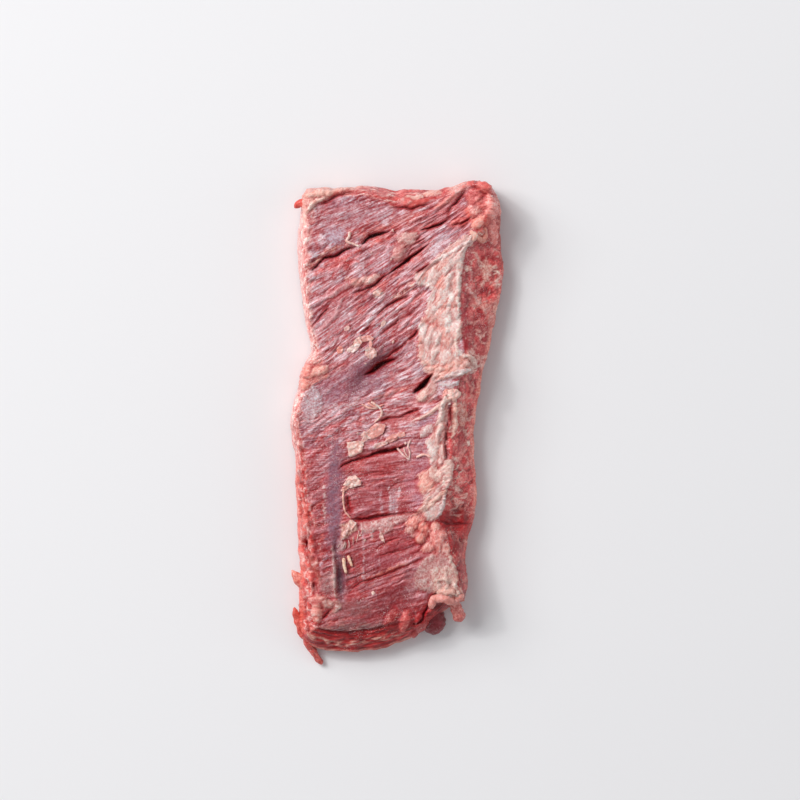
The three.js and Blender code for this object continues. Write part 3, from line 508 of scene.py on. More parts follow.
# Sinews and threads: path, half width, how far they stand off the meat, and colour
STRANDS = [
    ([(-23, 94.5), (-23.3, 92), (-24.4, 89.8), (-21, 88.3), (-17.7, 86.8)], 0.7, 0.5, CREAM),
    ([(-12.4, 10.1), (-7.7, 6.7), (-7.3, 3.3), (-10.7, -0.2)], 0.6, 0.5, CREAM),
    ([(-14, 9.6), (-9.8, 7.4), (-6, 8.8)], 0.6, 0.4, (240, 176, 164)),
    ([(-17, 9), (-13, 7), (-8.5, 7)], 0.5, 0.4, (240, 186, 170)),
    ([(0.5, -12.7), (3.9, -16.6), (6.7, -18.7)], 0.55, 0.5, PALE),
    ([(7.2, -8.6), (6, -12), (6.9, -15), (6.4, -18.6)], 0.5, 0.4, PALE),
    ([(3.9, -12.4), (4.6, -15), (6, -17.6)], 0.4, 0.3, PALE),
    ([(-25.8, -32.9), (-26.2, -38.1), (-25.2, -44.1), (-22.4, -47.6)], 0.5, 0.5, (232, 176, 160)),
    ([(-26, -67.2), (-25.6, -71), (-24.6, -75)], 0.9, 0.9, (246, 210, 184)),
    ([(-23.8, -66), (-22.9, -68.5), (-21.7, -71.5)], 0.85, 0.9, (246, 200, 174)),
    ([(10, -17.5), (14, -16), (17.5, -17.5)], 0.6, 0.4, (240, 196, 184)),
]
# Short threads along a torn edge: how many, half their width, and the edge's two ends
HAIRS = 9
HAIR_HALF = 0.2
HAIR_ROOTS = [(-27.5, -60.5), (-17, -53.5)]

# Rolls and folds of fat that stand off the meat: path, half widths and half thicknesses, and colour
FOLDS = [
    ([(17.6, -92.6), (18, -89.6), (20.2, -87.2), (24.5, -87.2), (29, -87.6), (33.4, -84.8)],
     (1.5, 2.1, 2.5, 1.9), (1, 1.4, 1.5, 1), (226, 156, 146)),
    ([(20.2, -84.2), (24.5, -83.6), (29.5, -84.4)], (1.3, 1.9, 1.3), (1, 1.3, 0.9), (224, 176, 162)),
    ([(39.3, 92.5), (42.2, 90.3), (44.4, 92.6), (43.6, 96.4)],
     (1.3, 1.5, 1), (1.1, 1.2, 0.8), (240, 168, 152)),
    ([(36.5, 94.5), (39, 92.2), (38, 89.4)], (1.2, 1.5, 1), (1, 1.2, 0.8), (244, 196, 180)),
]

# Scraps that hang over the sides: path with heights, half widths, half thicknesses, roughness, and colours of
# root and tip
TAGS = [
    ([(-43, 107.5, 12), (-47.5, 108.8, 11.4), (-50.4, 106.6, 10)],
     (2.8, 1.3), (2.6, 1), 0.3, BRIGHT_RED, (216, 74, 64)),
    ([(-42, -80.5, 7), (-48, -78.5, 6.5), (-52, -73.8, 6)],
     (6, 0.8), (2.6, 0.8), 0.34, (208, 84, 76), (240, 142, 122)),
    ([(-50.8, -92.4, 5.5), (-49.2, -98, 5), (-44, -108, 4.2)],
     (1.2, 3.6), (1.2, 2.8), 0.34, (226, 96, 80), (200, 78, 70)),
    ([(-42, -102, 6), (-43.6, -110, 4.4), (-37, -121, 1.7)],
     (4.2, 2, 1.5), (4, 1.3), 0.34, (186, 60, 56), (214, 92, 80)),
    ([(3, -95, 8), (7.5, -102, 6.5), (9, -107.4, 4.4)],
     (5, 3.2), (5, 3.4), 0.26, (176, 50, 50), (200, 76, 72)),
    ([(13, -87, 9), (17.5, -96, 7.5), (20, -105.6, 4.4)],
     (7, 6.2), (6, 3), 0.12, (120, 22, 32), (140, 38, 46)),
    ([(24, -83, 14), (29, -91, 12.5), (32.5, -99, 8.5)],
     (4.6, 2.6, 3.6), (3, 3), 0.34, (222, 156, 146), (222, 108, 100)),
]

# Height that lines straight down to the meat start from, and how near the table a scrap may come
ABOVE_ALL, OFF_TABLE = 60, 0.15
# How close the noise of the fibres runs along the grain, across it and through the depth
FIBRES = (0.12, 1.3, 0.5)
BIT_GRAIN = 0.7  # the same for the loose bits, in all directions
SIDE_CALM = 0.5  # the least calm of the sides, where 1 is smooth film


def srgb(r, g, b):
    """Linear colour of an 8-bit screen colour."""
    c = np.array([r, g, b], float) / 255
    return np.where(c <= 0.04045, c / 12.92, ((c + 0.055) / 1.055) ** 2.4)


# Lean meat
HIGH_LEAN, LOW_LEAN, END_LEAN = srgb(204, 128, 133), srgb(171, 74, 80), srgb(130, 36, 42)
WARM_LEAN, DUSKY_LEAN = srgb(208, 82, 84), srgb(148, 86, 102)
# Pale film, also painted highlight on the raised bundles and strands
PALE_FILM_AND_HIGHLIGHT, LOW_PALE_FILM_AND_HIGHLIGHT = srgb(242, 196, 201), srgb(220, 140, 146)
# Creases: deep reds with painted shade in them; the darkest is painted shadow in the openings and between the
# fibres of the lower end
DARK_RED_CREASE_SHADE, RED_CREASE_SHADE, DARKEST_RED_SHADOW = srgb(126, 12, 20), srgb(180, 30, 36), srgb(84, 2, 8)
# Pale flecks with painted glints, and the salmon lips of the bundles
PALE_FLECK_AND_GLINT, SALMON_EDGE = srgb(248, 222, 226), srgb(236, 108, 98)
# Fat
FAT, PINK_FAT = srgb(226, 184, 177), srgb(234, 148, 134)
FAT_RIDGE, FAT_CREASE = srgb(250, 226, 218), srgb(200, 84, 80)
FLAKE_SHADE, FLAKE_LIGHT = srgb(222, 140, 130), srgb(252, 228, 220)
# Left wall
WALL, LOW_WALL, WALL_STREAK = srgb(252, 178, 170), srgb(228, 98, 86), srgb(206, 50, 44)
WALL_PALE, WALL_DEEP, WALL_EDGE = srgb(253, 218, 210), srgb(150, 14, 16), srgb(242, 110, 94)
# Right face; its base red, and more so that of its upper end, is lighter than the lean on top: painted light
# on a side turned from the main light
LIT_FACE_RED, LIT_HIGH_FACE_RED, FACE_SHADE = srgb(246, 91, 90), srgb(255, 166, 158), srgb(176, 56, 68)
FACE_DEEP, FACE_PALE = srgb(180, 24, 36), srgb(255, 156, 146)
MARBLE, RIM = srgb(254, 204, 190), srgb(255, 156, 140)
# Ends
TOP_RED, TOP_CREAM, TOP_FAT = srgb(216, 100, 96), srgb(250, 200, 190), srgb(246, 172, 158)
BOTTOM_RED, BOTTOM_WARM = srgb(164, 20, 24), srgb(212, 54, 52)
BOTTOM_BAND, BOTTOM_FILM = srgb(228, 156, 140), srgb(150, 96, 96)
# Sides below the widest outline, and underside
SIDE_RED, SIDE_DEEP, SIDE_FAT = srgb(196, 66, 64), srgb(142, 28, 34), srgb(238, 170, 156)
UNDER_RED = srgb(150, 62, 62)
# Pale flecks and painted glints finer than the mesh
FINE_FLECK_AND_GLINT = (0.86, 0.68, 0.66, 1)

# What shade and creases leave of a bit's own red, green and blue
LOW_FACE_SHARE = (0.62, 0.16, 0.18)
FILM_CREASE_SHARE = (0.75, 0.32, 0.32)
RIDGE_SHADE_SHARE = (0.86, 0.6, 0.58)
RIDGE_FOOT_SHARE = (0.8, 0.6, 0.6)
MOUND_SHADE_SHARE = (0.8, 0.45, 0.45)
MOUND_CREASE_SHARE = (0.78, 0.35, 0.35)
ROLL_SHADE_SHARE = (0.72, 0.42, 0.42)


def through(pairs, key, at):
    """Smooth curve through pairs; key is the index of the known value."""
    rows = np.array(pairs, float)
    if rows[-1, key] < rows[0, key]:
        rows = rows[::-1]
    k, v = rows[:, key], rows[:, 1 - key]
    slope = np.empty_like(v)
    slope[1:-1] = (v[2:] - v[:-2]) / (k[2:] - k[:-2])
    slope[0] = (v[1] - v[0]) / (k[1] - k[0])
    slope[-1] = (v[-1] - v[-2]) / (k[-1] - k[-2])
    at = np.clip(np.asarray(at, float), k[0], k[-1])
    i = np.clip(np.searchsorted(k, at, side="right") - 1, 0, len(k) - 2)
    span = k[i + 1] - k[i]
    t = (at - k[i]) / span
    t2, t3 = t * t, t * t * t
    return (
        (2 * t3 - 3 * t2 + 1) * v[i]
        + (t3 - 2 * t2 + t) * span * slope[i]
        + (3 * t2 - 2 * t3) * v[i + 1]
        + (t3 - t2) * span * slope[i + 1]
    )


def ease(low, high, x):
    """From 0 at low to 1 at high, with soft ends; low may be the larger."""
    t = np.clip((x - low) / (high - low), 0, 1)
    return t * t * (3 - 2 * t)


def turned(x, y, degrees):
    c, s = math.cos(math.radians(degrees)), math.sin(math.radians(degrees))
    return c * x - s * y, s * x + c * y


# Noise
def lattice(i, j, seed):
    """A value from 0 to 1 for each whole-numbered place, the same as the solid's."""
    s = np.sin(i * 127.1 + j * 311.7 + seed * 74.7) * 43758.5453
    return s - np.floor(s)


def value_noise(x, y, seed):
    """Smooth noise from 0 to 1, the same as the solid's."""
    i, j = np.floor(x), np.floor(y)
    a, b = x - i, y - j
    a, b = a * a * (3 - 2 * a), b * b * (3 - 2 * b)
    low = lattice(i, j, seed) * (1 - a) + lattice(i + 1, j, seed) * a
    high = lattice(i, j + 1, seed) * (1 - a) + lattice(i + 1, j + 1, seed) * a
    return low * (1 - b) + high * b


def wave(x, y, seed):
    """Gradient noise, about -1 to 1."""
    i, j = np.floor(x), np.floor(y)
    a, b = x - i, y - j
    fa, fb = a * a * a * (a * (a * 6 - 15) + 10), b * b * b * (b * (b * 6 - 15) + 10)

    def corner(di, dj):
        angle = 2 * np.pi * lattice(i + di, j + dj, seed)
        return np.cos(angle) * (a - di) + np.sin(angle) * (b - dj)

    low = corner(0, 0) * (1 - fa) + corner(1, 0) * fa
    high = corner(0, 1) * (1 - fa) + corner(1, 1) * fa
    full_swing = 1.45
    return full_swing * (low * (1 - fb) + high * fb)


def waves(x, y, seed, octaves=3, gain=0.5):
    """Gradient noise with finer noise on it, about -1 to 1."""
    total, size = 0.0, 0.0
    for k in range(octaves):
        total = total + wave(x * 2**k, y * 2**k, seed + 31 * k) * gain**k
        size += gain**k
    return total / size


def billow(across, along, seed, octaves=2):
    """Rounded tops with narrow creases between them, about 0 to 1, with 0 in the creases."""
    return np.minimum(1, 1.9 * np.abs(waves(along, across, seed, octaves)))


def cells(x, y, seed):
    """Of a jittered grid: how much nearer the nearest seed point is than the next, and its random value."""
    margin = 0.15
    spare = 1 - 2 * margin
    i, j = np.floor(x), np.floor(y)
    first, second = np.full((2,) + np.shape(x), np.inf)
    tone = np.zeros(np.shape(x))
    for di, dj in itertools.product((-1, 0, 1), repeat=2):
        cx = i + di + margin + spare * lattice(i + di, j + dj, seed)
        cy = j + dj + margin + spare * lattice(i + di, j + dj, seed + 5)
        away = np.hypot(x - cx, y - cy)
        nearer = away < first
        second = np.where(nearer, first, np.minimum(second, away))
        tone = np.where(nearer, lattice(i + di, j + dj, seed + 9), tone)
        first = np.minimum(first, away)
    return second - first, tone


# Distances
def nearest_on(path, x, y):
    """Distance from points to a path, and how far along it the nearest place is, from 0 to 1."""
    best = np.full(np.shape(x), np.inf)
    along = np.zeros(np.shape(x))
    for k in range(len(path) - 1):
        (ax, ay), (bx, by) = path[k], path[k + 1]
        dx, dy = bx - ax, by - ay
        t = np.clip(((x - ax) * dx + (y - ay) * dy) / (dx * dx + dy * dy), 0, 1)
        away = np.hypot(x - ax - t * dx, y - ay - t * dy)
        along = np.where(away < best, (k + t) / (len(path) - 1), along)
        best = np.minimum(best, away)
    return best, along


def inside_by(outline, x, y):
    """How far points lie inside a closed outline: positive inside."""
    inside = np.zeros(np.shape(x), bool)
    for (ax, ay), (bx, by) in zip(outline, outline[1:] + outline[:1]):
        if ay != by:
            inside ^= ((ay > y) != (by > y)) & (x < (bx - ax) * (y - ay) / (by - ay) + ax)
    away, _ = nearest_on(outline + outline[:1], x, y)
    return np.where(inside, away, -away)


def inside_sheet(outline, x, y, seed, ragged):
    """How far points lie inside an outline whose edge is torn, in millimetres."""
    return inside_by(outline, x, y) + ragged * waves(x / 2.2, y / 2.2, seed, 3, 0.6)


def inside_blob(place, x, y, seed, ragged):
    """Distance from a turned oval's centre as a share of its radii, with a ragged edge."""
    cx, cy, rx, ry, turn = place
    px, py = turned(x - cx, y - cy, -turn)
    return np.hypot(px / rx, py / ry) + ragged * waves(x / 3, y / 3, seed, 3, 0.6)


# Outline and height of the steak
def wander(at, seed):
    """Unevenness of the outline: the solid's own, and a finer fray."""
    broad = value_noise(at / 5, 0.5, seed) + value_noise(at / 9, 0.5, seed + 1) - 1
    return RAGGEDNESS * broad + FRAY * waves(at / FRAY_STEP, 0 * at + 0.5, seed + 60, 2)


def left_edge(y):
    return through(LEFT_EDGE, 1, y) + wander(y, 11)


def right_edge(y):
    return through(RIGHT_EDGE, 1, y) + wander(y, 13)


def top_edge(x):
    return through(TOP_EDGE, 0, x) + wander(x, 15)


def bottom_edge(x):
    return through(BOTTOM_EDGE, 0, x) + wander(x, 17)


def crest(y):
    return through(CREST, 1, y)


def border_distance(x, y):
    return np.minimum.reduce([x - left_edge(y), right_edge(y) - x, top_edge(x) - y, y - bottom_edge(x)])


def grain_line(x, y):
    """The y at which the grain line through a point crosses the middle of the lean."""
    middle = y
    for _ in range(8):
        middle = y - through(GRAIN_SLOPE, 1, middle) * (x - GRAIN_MIDDLE)
    return middle


def shoulder(share, fullness):
    """Height of a side as a share of its full height, rounded the more the larger its fullness."""
    t = np.clip(share, 0, 1)
    return 1 - (1 - t) ** fullness


def side_profile(x, y):
    """How far up its side each point is, from 0 to 1, all four sides taken together."""
    left = shoulder((x - left_edge(y)) / through(LEFT_FACE, 1, y), FULLNESS["left"])
    right = shoulder((right_edge(y) - x) / (right_edge(y) - crest(y)), FULLNESS["right"])
    top = shoulder((top_edge(x) - y) / through(TOP_FACE, 0, x), FULLNESS["top"])
    bottom = shoulder((y - bottom_edge(x)) / through(BOTTOM_FACE, 0, x), FULLNESS["bottom"])
    return left * right * top * bottom


def rim_height(x, y):
    """Height of the widest outline above the table: low along the left side, higher along the bulging right
    side and the lower end."""
    return LEFT_RIM + (RIGHT_RIM - LEFT_RIM) * np.maximum(ease(*RIM_RISE, x), END_RIM * ease(*END_RISE, y))


def base_height(x, y):
    """Height of the meat before its relief, and how far up the side each point is, from 0 to 1."""
    side = side_profile(x, y)
    from_crest = x - crest(y)
    lift = CREST_LIFT * np.exp(-((from_crest / np.where(from_crest < 0, *CREST_SPREAD)) ** 2))
    swell = SWELL * (value_noise(x / 38 + 5, y / 45 + 3, 1) - 0.5)
    lumps = value_noise(x / 5, y / 8, 6) + value_noise(x / 9, y / 17, 7) - 1
    rim = rim_height(x, y)
    height = rim + (LEAN_HEIGHT + lift + swell - rim) * side
    return height + FACE_RELIEF * 4 * side * (1 - side) * lumps, side


# Layout of the grid
def column_shares():
    """Part of each column, 0 for the left wall, 1 for the lean, 2 for the right face, and its share of it."""
    wall = np.linspace(0, 1, WALL_COLUMNS + 1)[:-1]
    wall = 0.5 * wall + 0.5 * (1 - (1 - wall) ** (1 / FULLNESS["left"]))
    lean = np.linspace(0, 1, LEAN_COLUMNS + 1)[:-1]
    face = np.linspace(0, 1, FACE_COLUMNS + 1)
    part = np.repeat([0, 1, 2], [len(wall), len(lean), len(face)])
    return part, np.concatenate([wall, lean, face])


def across_at(part, share, y):
    """X of each column on the rows that pass through y."""
    left, ridge, right = left_edge(y), crest(y), right_edge(y)
    foot = left + through(LEFT_FACE, 1, y)
    starts, ends = (left, foot, ridge), (foot, ridge, right)
    return np.choose(part, starts) * (1 - share) + np.choose(part, ends) * share


def plan_grid():
    """X and Y of the grid's points: columns across the steak, on rows that slant with its ends."""
    part, share = column_shares()
    part, along = np.meshgrid(part, np.interp(np.arange(ROWS + 1), *ROW_KNOTS))
    share = np.broadcast_to(share, part.shape)
    top = top_edge(across_at(part, share, np.full(part.shape, TOP_EDGE[0][1])))
    bottom = bottom_edge(across_at(part, share, np.full(part.shape, BOTTOM_EDGE[0][1])))
    reach = np.choose(part, (WALL_REACH * share, WALL_REACH + (1 - WALL_REACH) * share, 1.0))
    y = bottom + (top - bottom) * (along + through(ROW_CLIMB, 0, along) * (reach - 0.5))
    return across_at(part, share, y), y


def on_sheet(part, across, up):
    """Place on the bake sheet of a point of the top, the underside or the sides."""
    return part[0] + part[2] * across, part[1] + part[3] * up


def border_loop(rows, columns):
    """Row and column of each point round a grid's border, counter-clockwise from its first corner."""
    low = [(0, j) for j in range(columns - 1)]
    right = [(i, columns - 1) for i in range(rows - 1)]
    high = [(rows - 1, j) for j in range(columns - 1, 0, -1)]
    left = [(i, 0) for i in range(rows - 1, 0, -1)]
    return np.array(low + right + high + left)


def sheet_spots(part, corners, shape):
    return [on_sheet(part, j / (shape[1] - 1), i / (shape[0] - 1)) for i, j in corners]


def top_faces(index):
    for i, j in itertools.product(range(index.shape[0] - 1), range(index.shape[1] - 1)):
        corners = ((i, j), (i, j + 1), (i + 1, j + 1), (i + 1, j))
        yield [index[c] for c in corners], sheet_spots(TOP_SHEET, corners, index.shape)


def side_faces(circles):
    """Faces between each ring of points and the next one down."""
    rings, count = len(circles) - 1, len(circles[0])
    for k, p in itertools.product(range(1, rings + 1), range(count)):
        corners = ((k, p), (k, p + 1), (k - 1, p + 1), (k - 1, p))
        spots = [on_sheet(SIDE_SHEET, at / count, ring / rings) for ring, at in corners]
        yield [circles[ring][at % count] for ring, at in corners], spots


def under_faces(low):
    """Faces of the underside, two divisions wide, which take in every point along its border."""
    for i, j in itertools.product(range(0, low.shape[0] - 1, 2), range(0, low.shape[1] - 1, 2)):
        square = [(i + di, j + dj) for di, dj in ROUND_SQUARE]
        corners = [c for c in square if low[c] >= 0]
        yield [low[c] for c in corners], sheet_spots(UNDER_SHEET, corners, low.shape)


def closed_faces(rows, columns, rings):
    """Faces of a top grid, of rings from its border down to the underside, and of the underside, with each
    corner's place on the bake sheet, the border's points, and the points that the underside repeats."""
    index = np.arange(rows * columns).reshape(rows, columns)
    loop = border_loop(rows, columns)
    row, column = loop.T
    circles = [index[row, column]]
    circles += [index.size + k * len(loop) + np.arange(len(loop)) for k in range(rings)]
    inner = np.zeros(index.shape, bool)
    inner[2:-2:2, 2:-2:2] = True
    low = np.full(index.shape, -1)
    low[inner] = index.size + rings * len(loop) + np.arange(inner.sum())
    low[row, column] = circles[-1]
    faces, places = [], []
    for corners, spots in itertools.chain(top_faces(index), side_faces(circles), under_faces(low)):
        faces.append(tuple(int(c) for c in corners))
        places.extend(spots)
    return faces, places, loop, inner


# Colour and relief of each kind of surface
def paint(tint, colour, share):
    """Cover a tint with a colour, or with another tint, as far as share says."""
    return tint + (colour - tint) * np.clip(share, 0, 1)[..., None]


def layered(tint, *layers):
    """A tint covered in turn by colours or other tints, each with its share."""
    for colour, share in layers:
        tint = paint(tint, colour, share)
    return tint


def plain(colour, x):
    return np.broadcast_to(colour, np.shape(x) + (3,))


def lean(x, y):
    """Relief and colour of the muscle: rounded bundles and strands with creases between, and grainy film."""
    warp = 1.5 * waves(x / 13, y / 13, 40) + 0.9 * waves(x / 4.5, y / 4.5, 41)
    # Beside the long channel of the lower half, the bundles bend down
    bend = 0.6 * np.maximum(0, -24 - x) * ease(12, 2, y) * ease(-62, -40, y)
    c = grain_line(x, y) + warp + bend
    low = ease(8, -30, y + 8 * waves(x / 20, y / 20, 44))
    stretch = 1 + 0.9 * ease(84, 70, y) * ease(12, 24, y)
    coarse = ease(-0.12, 0.22, waves(x / 21, y / 17, 46)) * (1 - 0.6 * low)
    small = 1 - 0.3 * coarse
    vigour = np.clip(0.75 + waves(x / 18, y / 18, 45), 0.25, 1.3)
    deep_share = np.clip(vigour, 0, 1)

    # Bundles, strands and fibres, each shorter across the upper half than in the lower
    gap, tone = cells(x / 24 + 0.5 * wave(x / 7, y / 7, 43), c / 5.2, 50)
    broad = billow(c / 3.3, x / 8 / stretch, 60) * (1 - coarse) + billow(c / 5.6, x / 12, 68, 1) * coarse
    broad = broad * (1 - low) + billow(c / 3.2, x / 24, 66) * low
    thin = billow(c / 1.9, x / 6 / stretch, 61) * (1 - low) + billow(c / 1.7, x / 19, 67) * low
    fine = waves(x / 3.5 / stretch, c / 0.95, 62, 2) * (1 - low) + waves(x / 9, c / 1.05, 69, 2) * low
    lumps = waves(x / 5, y / 5, 64, 2)
    mottle = waves(x / 1.3, y / 1.3, 63, 2)
    relief = 0.45 * (ease(0, 0.5, gap) - 0.75) + 0.5 * (tone - 0.5) + (0.74 + 0.5 * coarse) * (broad - 0.5)
    relief = vigour * (relief + 0.34 * small * (thin - 0.5))
    relief = relief + 0.2 * lumps + 0.1 * fine + 0.1 * mottle * small

    # Broad changes of colour
    upper = ease(-40, 5, y + 7 * waves(x / 18, y / 18, 80))
    pale = paint(plain(LOW_PALE_FILM_AND_HIGHLIGHT, x), PALE_FILM_AND_HIGHLIGHT, upper)
    tint = layered(
        plain(LOW_LEAN, x),
        (HIGH_LEAN, upper),
        (END_LEAN, ease(-60, -84, y + 0.25 * x + 8 * waves(x / 14, y / 14, 81))),
        (WARM_LEAN, 0.85 * ease(0, 0.3, waves(x / 18, c / 8, 82))),
        (DUSKY_LEAN, 0.8 * ease(0, 0.3, waves(x / 20, y / 15, 84)) * upper),
    )

    # Pale tops with salmon lips, dark creases between them, and grainy film. The pale tops are partly pale
    # film and partly painted highlight on the raised bundles and strands; the dark creases are deep red with
    # painted shade in them
    tops = 0.7 * ease(0.45, 0.95, broad) + 0.2 * ease(0.4, 1, tone)
    lip = ease(0.1, 0.22, broad) * (1 - ease(0.26, 0.45, broad))
    narrow = 0.46 * small * ease(0.12, 0.45, -fine) + 0.6 * coarse * (1 - ease(0, 0.09, broad))
    flecks_and_glints = ease(0.25, 0.45, waves(x / 1.1, y / 0.9, 90, 2)) * ease(-0.2, 0.4, waves(x / 9, y / 9, 92))
    tint = layered(
        tint,
        (pale, tops * (0.4 + 0.6 * vigour)),
        (pale, small * (0.58 * ease(0.4, 0.9, thin) + 0.46 * ease(0.1, 0.45, fine))),
        (SALMON_EDGE, 0.65 * lip * ease(-0.1, 0.3, lumps)),
        (RED_CREASE_SHADE, 0.82 * (1 - ease(0.02, 0.28, broad)) * deep_share),
        (DARK_RED_CREASE_SHADE, 0.7 * small * (1 - ease(0, 0.27, thin)) * deep_share),
        (DARK_RED_CREASE_SHADE, narrow),
        (DARK_RED_CREASE_SHADE, 0.8 * (1 - ease(0, 0.12, gap)) * ease(-0.2, 0.3, waves(x / 9, y / 9, 87))),
        (pale, 0.45 * small * ease(0.12, 0.45, mottle)),
        (RED_CREASE_SHADE, 0.38 * small * ease(0.12, 0.45, -mottle)),
        (PALE_FLECK_AND_GLINT, 0.6 * flecks_and_glints * upper),
    )
    return relief, tint


def fat_lobes(x, y):
    """Relief and colour of a sheet of fat: soft lobes that fan out to the upper right, with pink creases."""
    fan = -0.1 * y + 0.45 * (np.hypot(y - 70, 7) + y - 70)
    fx = x - fan + 2.5 * waves(x / 6, y / 6, 160)
    fy = y + 3.5 * waves(x / 7, y / 7, 161)
    gap, tone = cells(fx / 6.4, fy / 9.5, 162)
    small_gap, small_tone = cells(x / 2.1, y / 2.6, 165)
    drape = waves(fx / 3.4, fy / 9, 168, 2)
    grains = waves(x / 1.1, y / 1.2, 169, 2)
    grainy = ease(0, 0.3, waves(fx / 5, fy / 9, 170, 2))
    relief = 0.95 * ease(0, 0.5, gap) ** 0.7 + 0.6 * (tone - 0.5) + 0.5 * drape
    relief = relief + (0.1 + 0.35 * grainy) * ease(0, 0.5, small_gap) + 0.12 * grains - 0.6 - 0.2 * grainy
    tint = layered(
        plain(FAT, x),
        # Paler on the raised drapes, partly painted highlight
        (FAT_RIDGE, 0.75 * ease(-0.05, 0.4, drape) + 0.3 * ease(0.5, 1, tone)),
        (PINK_FAT, 0.55 * ease(0.05, 0.4, -drape) + 0.8 * grainy),
        (FAT_RIDGE, 0.6 * grainy * ease(0.55, 1, small_tone)),
        (FAT_CREASE, 0.9 * (1 - ease(0, 0.16, gap)) * ease(-0.3, 0.2, waves(x / 7, y / 9, 172))),
        (FAT_CREASE, (0.1 + 0.45 * grainy) * (1 - ease(0, 0.22, small_gap))),
        (FAT_RIDGE, 0.5 * ease(0.1, 0.45, grains)),
        (PINK_FAT, 0.45 * ease(0.1, 0.45, -grains)),
    )
    return relief, tint


def wall_surface(x, y):
    """Relief and colour of the left wall: ragged salmon strips along the edge, with red between them."""
    edge = (x - left_edge(y)) / through(LEFT_FACE, 1, y)
    strips = billow(edge * 3 + y / 40 + 0.7 * waves(x / 4, y / 5, 213), y / 9, 210)
    shreds = waves(y / 4, edge * 5 + 0.6 * waves(x / 3, y / 3, 216), 211, 2)
    lumps = waves(x / 3, y / 4.5, 214, 2)
    low = ease(20, -45, y)
    gash = ease(0.06, 0.24, waves(x / 2.2, y / 11, 217, 2)) * low
    beads = ease(0.25, 0.5, waves(x / 1.8, y / 2.2, 218, 2)) * ease(-0.2, 0.3, waves(x / 6, y / 9, 219))
    tint = layered(
        plain(WALL, x),
        (LOW_WALL, low),
        (WALL_STREAK, (0.45 + 0.35 * low) * (1 - ease(0.1, 0.5, strips))),
        (WALL_PALE, (0.68 - 0.16 * low) * ease(0, 0.3, shreds)),
        (RED_CREASE_SHADE, (0.5 + 0.25 * low) * ease(0.15, 0.45, -shreds)),
        # Deep red in the low lumps and the gashes, with painted shade in them
        (WALL_DEEP, (0.25 + 0.3 * low) * ease(0.2, 0.5, -lumps) + 0.9 * gash),
        (WALL_PALE, 0.8 * beads * low),
        (paint(plain(WALL, x), WALL_EDGE, low), 0.65 * (1 - ease(0.05, 0.35, edge))),
    )
    relief = 0.9 * (strips - 0.5) + 0.5 * shreds + 0.5 * lumps - 1.2 * gash + 0.2 * beads * low
    return relief, tint


def right_surface(x, y):
    """Relief and colour of the right face: soft upright streaks, with veins of marbling and a salmon rim."""
    wx, wy = x + 1.6 * waves(x / 5, y / 5, 220), y + 2.2 * waves(x / 6, y / 6, 221)
    lumps = billow(wy / 8, wx / 7, 222, 1)
    grit = waves(x / 1.1, y / 1, 223, 2)
    blotch = waves(wx / 6, wy / 8, 224, 2)
    streaks = waves(wx / 1.9, wy / 8, 226, 2)
    veins = 1 - ease(0.02, 0.09, np.abs(waves(wx / 9, wy / 5, 225, 2)))
    veins = veins * ease(0.02, 0.3, waves(x / 9, y / 8, 227))
    threads = 1 - ease(0.01, 0.07, np.abs(waves(wx / 5, wy / 8, 228, 2)))
    threads = threads * ease(0.05, 0.35, waves(x / 7, y / 8, 230))
    hairs = 1 - ease(0.01, 0.08, np.abs(waves(wx / 2.6, wy / 5, 234, 2)))
    hairs = hairs * ease(-0.1, 0.3, waves(x / 6, y / 7, 235))
    shade = 1 - ease(2, 7, x - through(FACE_LINE, 1, y) + 1.6 * waves(x / 4, y / 6, 231))
    dots = ease(0.38, 0.55, waves(x / 0.9, y / 0.9, 232, 2)) * shade

    # Stretches along the face, from its upper end to its lower
    high, low = ease(86, 100, y), ease(-30, -48, y)
    light = ease(2, -6, y) * ease(-48, -38, y)
    deep = ease(54, 48, y) * ease(26, 32, y)
    orange = ease(66, 56, y) * ease(-46, -36, y)

    pale = (0.35 + 0.3 * light) * ease(0.12, 0.35, -blotch) + 0.1 * ease(0.55, 1, lumps)
    # The base red, and more so that of the upper end, is lighter than the lean on top: painted light on a
    # side turned from the main light
    tint = layered(
        plain(LIT_FACE_RED, x),
        (LIT_HIGH_FACE_RED, high),
        (FACE_DEEP, (0.95 - 0.7 * high - 0.35 * light) * ease(-0.1, 0.14, blotch)),
        (FACE_PALE, pale),
        (FACE_SHADE, 0.7 * shade * (1 - high) * ease(-12, 12, y)),
        (FACE_PALE, 0.3 * ease(0.12, 0.35, streaks)),
        (DARK_RED_CREASE_SHADE, 0.5 * ease(0.12, 0.4, -streaks) + 0.75 * (1 - ease(0, 0.14, lumps))),
        (FACE_PALE, 0.18 * ease(0.1, 0.4, grit)),
        (FACE_DEEP, 0.4 * ease(0.1, 0.4, -grit)),
        (FACE_DEEP, 0.5 * deep),
    )
    marble = (0.95 * veins + 0.75 * threads + 0.5 * hairs) * (1 - 0.6 * low - 0.45 * deep)
    rim = 1 - ease(1.1, 2.3, right_edge(y) - x + 0.9 * waves(x / 3, y / 5, 229))
    patchy = ease(-0.3, 0.15, waves(x / 5, y / 8, 233, 2))
    tint = paint(tint, tint * LOW_FACE_SHARE, 0.95 * low)
    tint = paint(tint, MARBLE, marble + 0.5 * dots)
    tint = paint(tint, RIM, rim * (0.25 + 0.25 * high + 0.65 * orange) * (0.35 + 0.65 * patchy))
    return 0.9 * (lumps - 0.5) + 0.5 * blotch + 0.35 * streaks + 0.4 * veins + 0.1 * grit, tint


